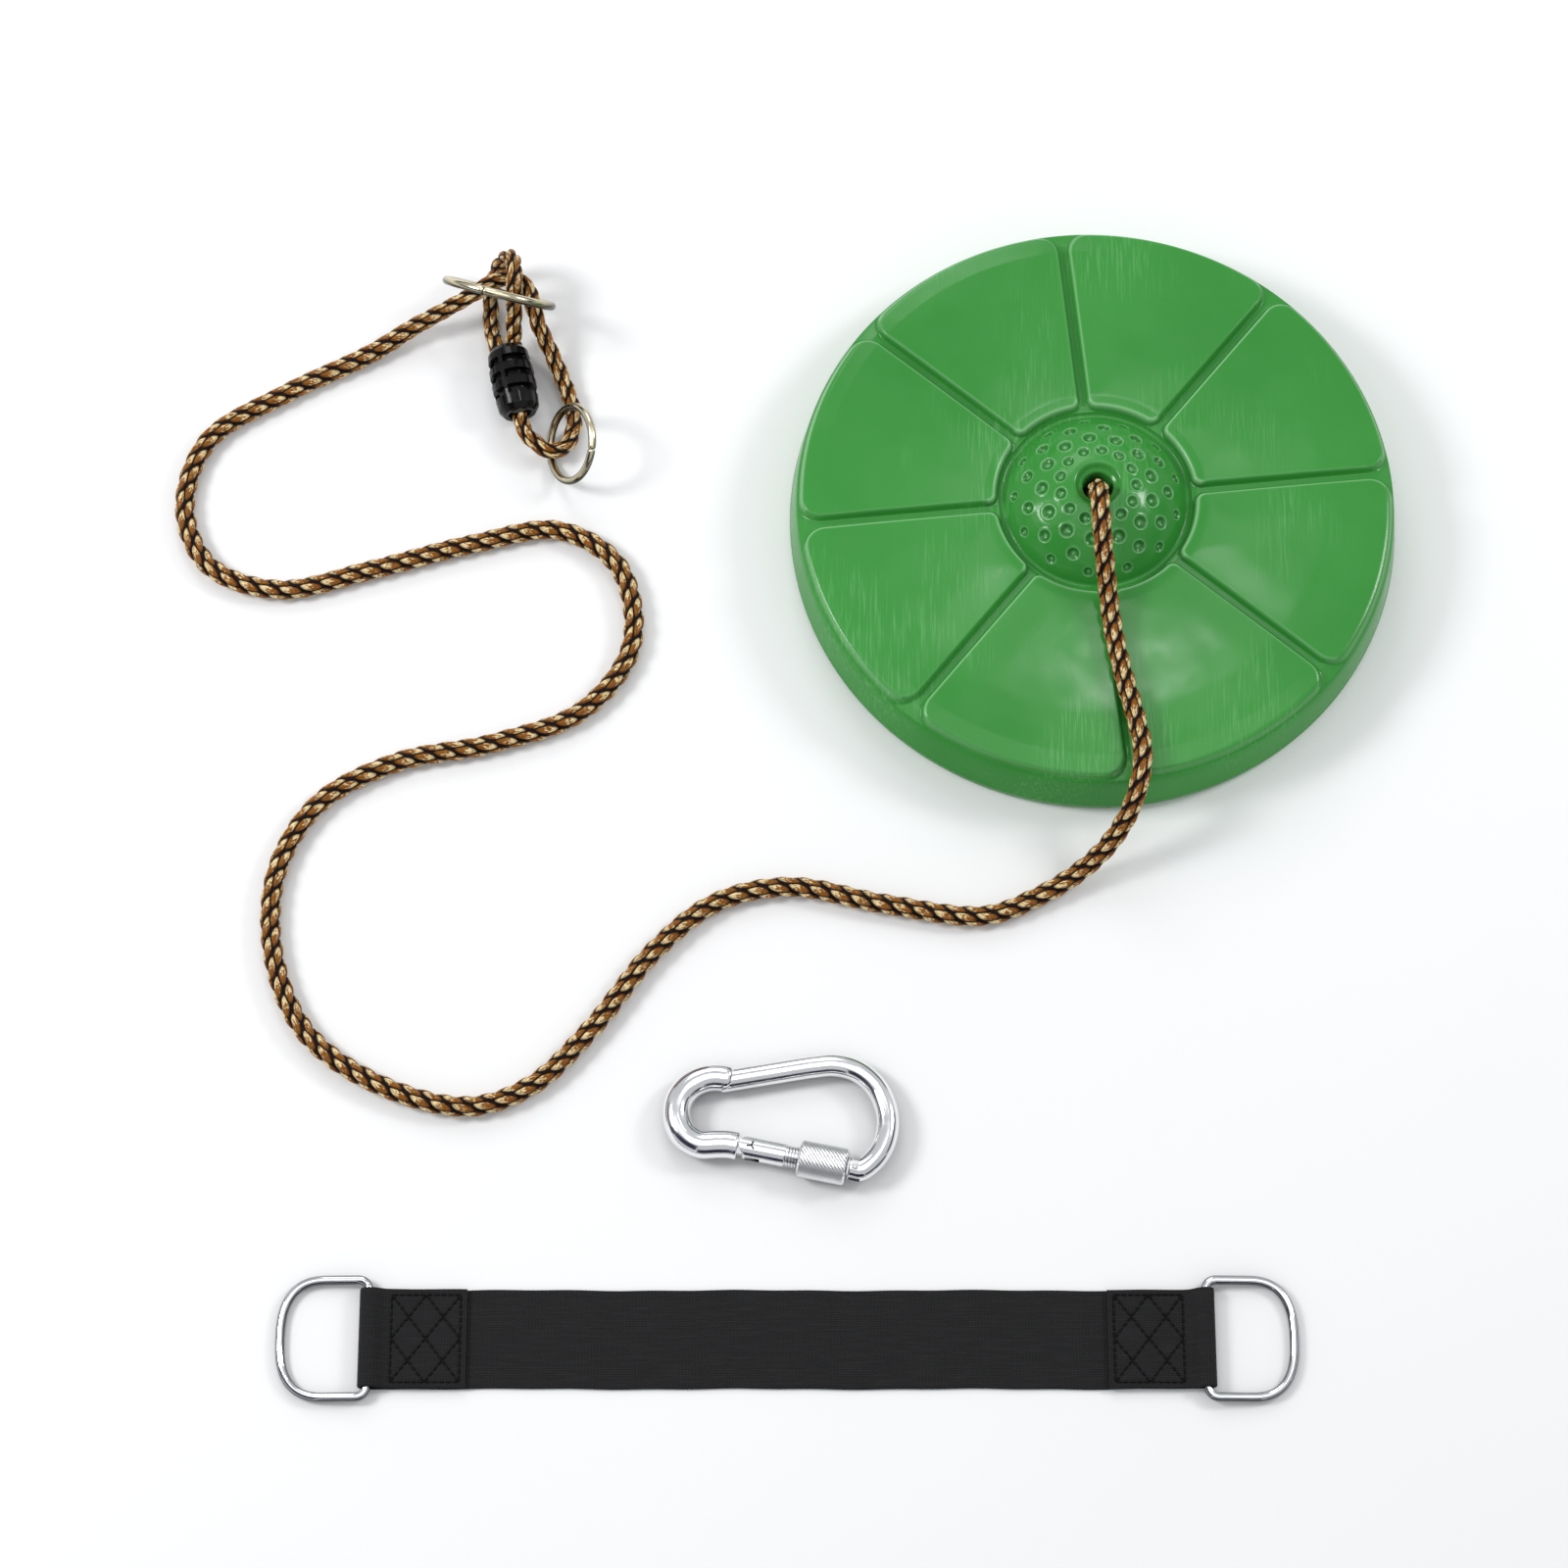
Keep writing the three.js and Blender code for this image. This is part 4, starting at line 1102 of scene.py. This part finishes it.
def webbing():
    """One ribbon, folded up over both bars and back on itself."""
    half_turn = np.linspace(0, math.pi, 25)
    left_loop = [
        (-BAR_OFFSET - LOOP_MIDDLE * math.sin(a), LOOP_OUTER + LOOP_MIDDLE * math.cos(a))
        for a in half_turn
    ]
    rise = [
        (-FOLD_END, TOP_MIDDLE), (-170, TOP_MIDDLE), (-190, TOP_MIDDLE),
        (-192.5, TOP_MIDDLE + 0.4), (-195, TOP_MIDDLE + 2.3),
        (-197.2, LOOP_OUTER + LOOP_MIDDLE - 0.6),
    ]
    path = np.array(rise + left_loop, float)
    mirrored = path[::-1] * (-1, 1)
    path = np.vstack([path, mirrored])
    path = np.stack([path[:, 0], 0 * path[:, 0], path[:, 1]], 1)
    line = resampled(path, RIBBON_STEP)
    for _ in range(2):
        line[1:-1] = (line[:-2] + 2 * line[1:-1] + line[2:]) / 4
    tangent = np.gradient(line, axis=0)
    tangent /= np.linalg.norm(tangent, axis=1)[:, None]
    normal = np.cross(tangent, (0, 1.0, 0))
    # the section, once round: top face, rounded edge, bottom face, rounded edge
    side = STRAP_WIDTH / 2 - EDGE_ROUND
    flat = np.linspace(-side, side, 49)
    bend = np.linspace(math.pi / 2, -math.pi / 2, 9)[1:-1]
    half_t = STRAP_THICKNESS / 2 - 0.04
    section = [(y, half_t) for y in flat]
    section += [(side + 0.85 * math.cos(a), half_t * math.sin(a)) for a in bend]
    section += [(y, -half_t) for y in flat[::-1]]
    section += [(-side - 0.85 * math.cos(a), -half_t * math.sin(a)) for a in bend]
    section = np.array(section)
    points = (
        line[:, None] + section[None, :, :1] * np.array([0, 1.0, 0])
        + section[None, :, 1:] * normal[:, None]
    )
    along = np.arange(len(line)) * RIBBON_STEP
    wave = 0.22 * np.sin(along / 17.0) + 0.14 * np.sin(along / 6.1 + 1)
    points[..., 1] += wave[:, None]
    upper = (line[:, 2] > TOP_MIDDLE - 0.1)[:, None] & (np.abs(line[:, 0]) < 192)[:, None]
    pull = 0.34 * np.exp(-((from_stitches(points[..., 0], points[..., 1]) / 0.9) ** 2))
    faces_up = (section[:, 1] * np.sign(normal[2, 2]) > 0)[None, :]
    points[..., 2] -= np.where(upper & faces_up, pull, 0)
    weave = np.stack([
        np.broadcast_to(along[:, None], points.shape[:2]),
        np.broadcast_to(section[None, :, 0], points.shape[:2]),
        np.zeros(points.shape[:2]),
    ], -1).reshape(-1, 3)
    flat_points, quads, triangles = capped(
        points.reshape(-1, 3), grid_quads(len(line), len(section)), len(line), len(section),
        line[0], line[-1],
    )
    fields = {"weave": np.vstack([weave, weave[:1], weave[-1:]])}
    made = make("strap_ribbon", flat_points + STRAP_CENTRE, quads, triangles, WEBBING, 60, fields)
    return made, float(along[-1])


def stitching(side):
    """Each stitch is a short thread that dips into the cloth at both ends."""
    sides, steps = 8, 7
    angle = angles_round(sides)
    level = 2 * STRAP_THICKNESS + LAYER_GAP - 0.22
    points, quads = [], []
    for (x0, y0), (x1, y1) in stitch_lines():
        length = math.hypot(x1 - x0, y1 - y0)
        count = round(length / STITCH_PITCH)
        run = np.array([x1 - x0, y1 - y0]) / length
        for k in range(count):
            middle = (k + 0.5) / count * length
            half = 0.44 * length / count
            t = np.linspace(-1, 1, steps)
            lift = level + 0.30 * np.sqrt(np.clip(1 - t**4, 0, 1))
            thick = STITCH_RADIUS * np.clip(1 - t**6, 0.12, 1)
            centre = np.array([x0, y0]) + run * (middle + half * t)[:, None]
            across = np.array([-run[1], run[0]])
            ring = (
                np.concatenate([centre, lift[:, None]], 1)[:, None]
                + thick[:, None, None] * (
                    np.cos(angle)[None, :, None] * np.array([*across, 0])
                    + np.sin(angle)[None, :, None] * np.array([0, 0, 1.0])
                )
            )
            quads.append(grid_quads(steps, sides) + sum(len(p) for p in points))
            points.append(ring.reshape(-1, 3))
    points = np.vstack(points) * (side, side, 1)
    name = "left_thread" if side < 0 else "right_thread"
    return make(name, points + STRAP_CENTRE, np.vstack(quads), (), THREAD, 70)


def d_ring(side):
    """A D of round wire, leaning down from its bar in the loop to the ground."""
    outline = []

    def arc(cx, cy, radius, start, end, steps):
        for a in np.radians(np.linspace(start, end, steps)):
            outline.append((cx + radius * math.cos(a), cy + radius * math.sin(a), 0))

    leg = D_HALF_HEIGHT
    arc(D_CORNER, -leg + D_CORNER, D_CORNER, 180, 270, 12)
    for a in np.radians(np.linspace(-90, 90, 72)):
        x, y = abs(math.cos(a)) ** (2 / D_ROUND), abs(math.sin(a)) ** (2 / D_ROUND)
        outline.append((D_LEG + D_REACH * x, math.copysign(leg * y, a), 0))
    arc(D_CORNER, leg - D_CORNER, D_CORNER, 90, 180, 12)
    loop = resampled(np.array([*outline, outline[0]], float), 1.2)[:-1]
    tangent = np.roll(loop, -1, 0) - np.roll(loop, 1, 0)
    tangent /= np.linalg.norm(tangent, axis=1)[:, None]
    frames = np.cross(tangent, (0, 0, 1.0)), np.broadcast_to((0, 0, 1.0), loop.shape)
    points, quads, triangles = swept(loop, D_WIRE, 24, closed=True, frames=frames)
    lean = math.degrees(math.asin((LOOP_OUTER - D_WIRE - 0.05) / (D_LEG + D_REACH)))
    points = points @ rotation("Y", lean).T
    points = points * (side, side, 1) + (side * BAR_OFFSET, 0, LOOP_OUTER) + STRAP_CENTRE
    name = "left" if side < 0 else "right"
    made = make(f"{name}_d_wire", points, quads, triangles, BRIGHT)
    return place(made, f"{name}_d_ring", [f"{name}_d_ring"])


ribbon, ribbon_length = webbing()
place(ribbon, "strap", ["strap_webbing"])
threads = [stitching(-1), stitching(1)]
place(threads[0], "strap", ["left_stitching"])
place(threads[1], "strap", ["right_stitching"])
for end in (-1, 1):
    d_ring(end)

# ---------------------------------------------------------------- size
low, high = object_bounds()
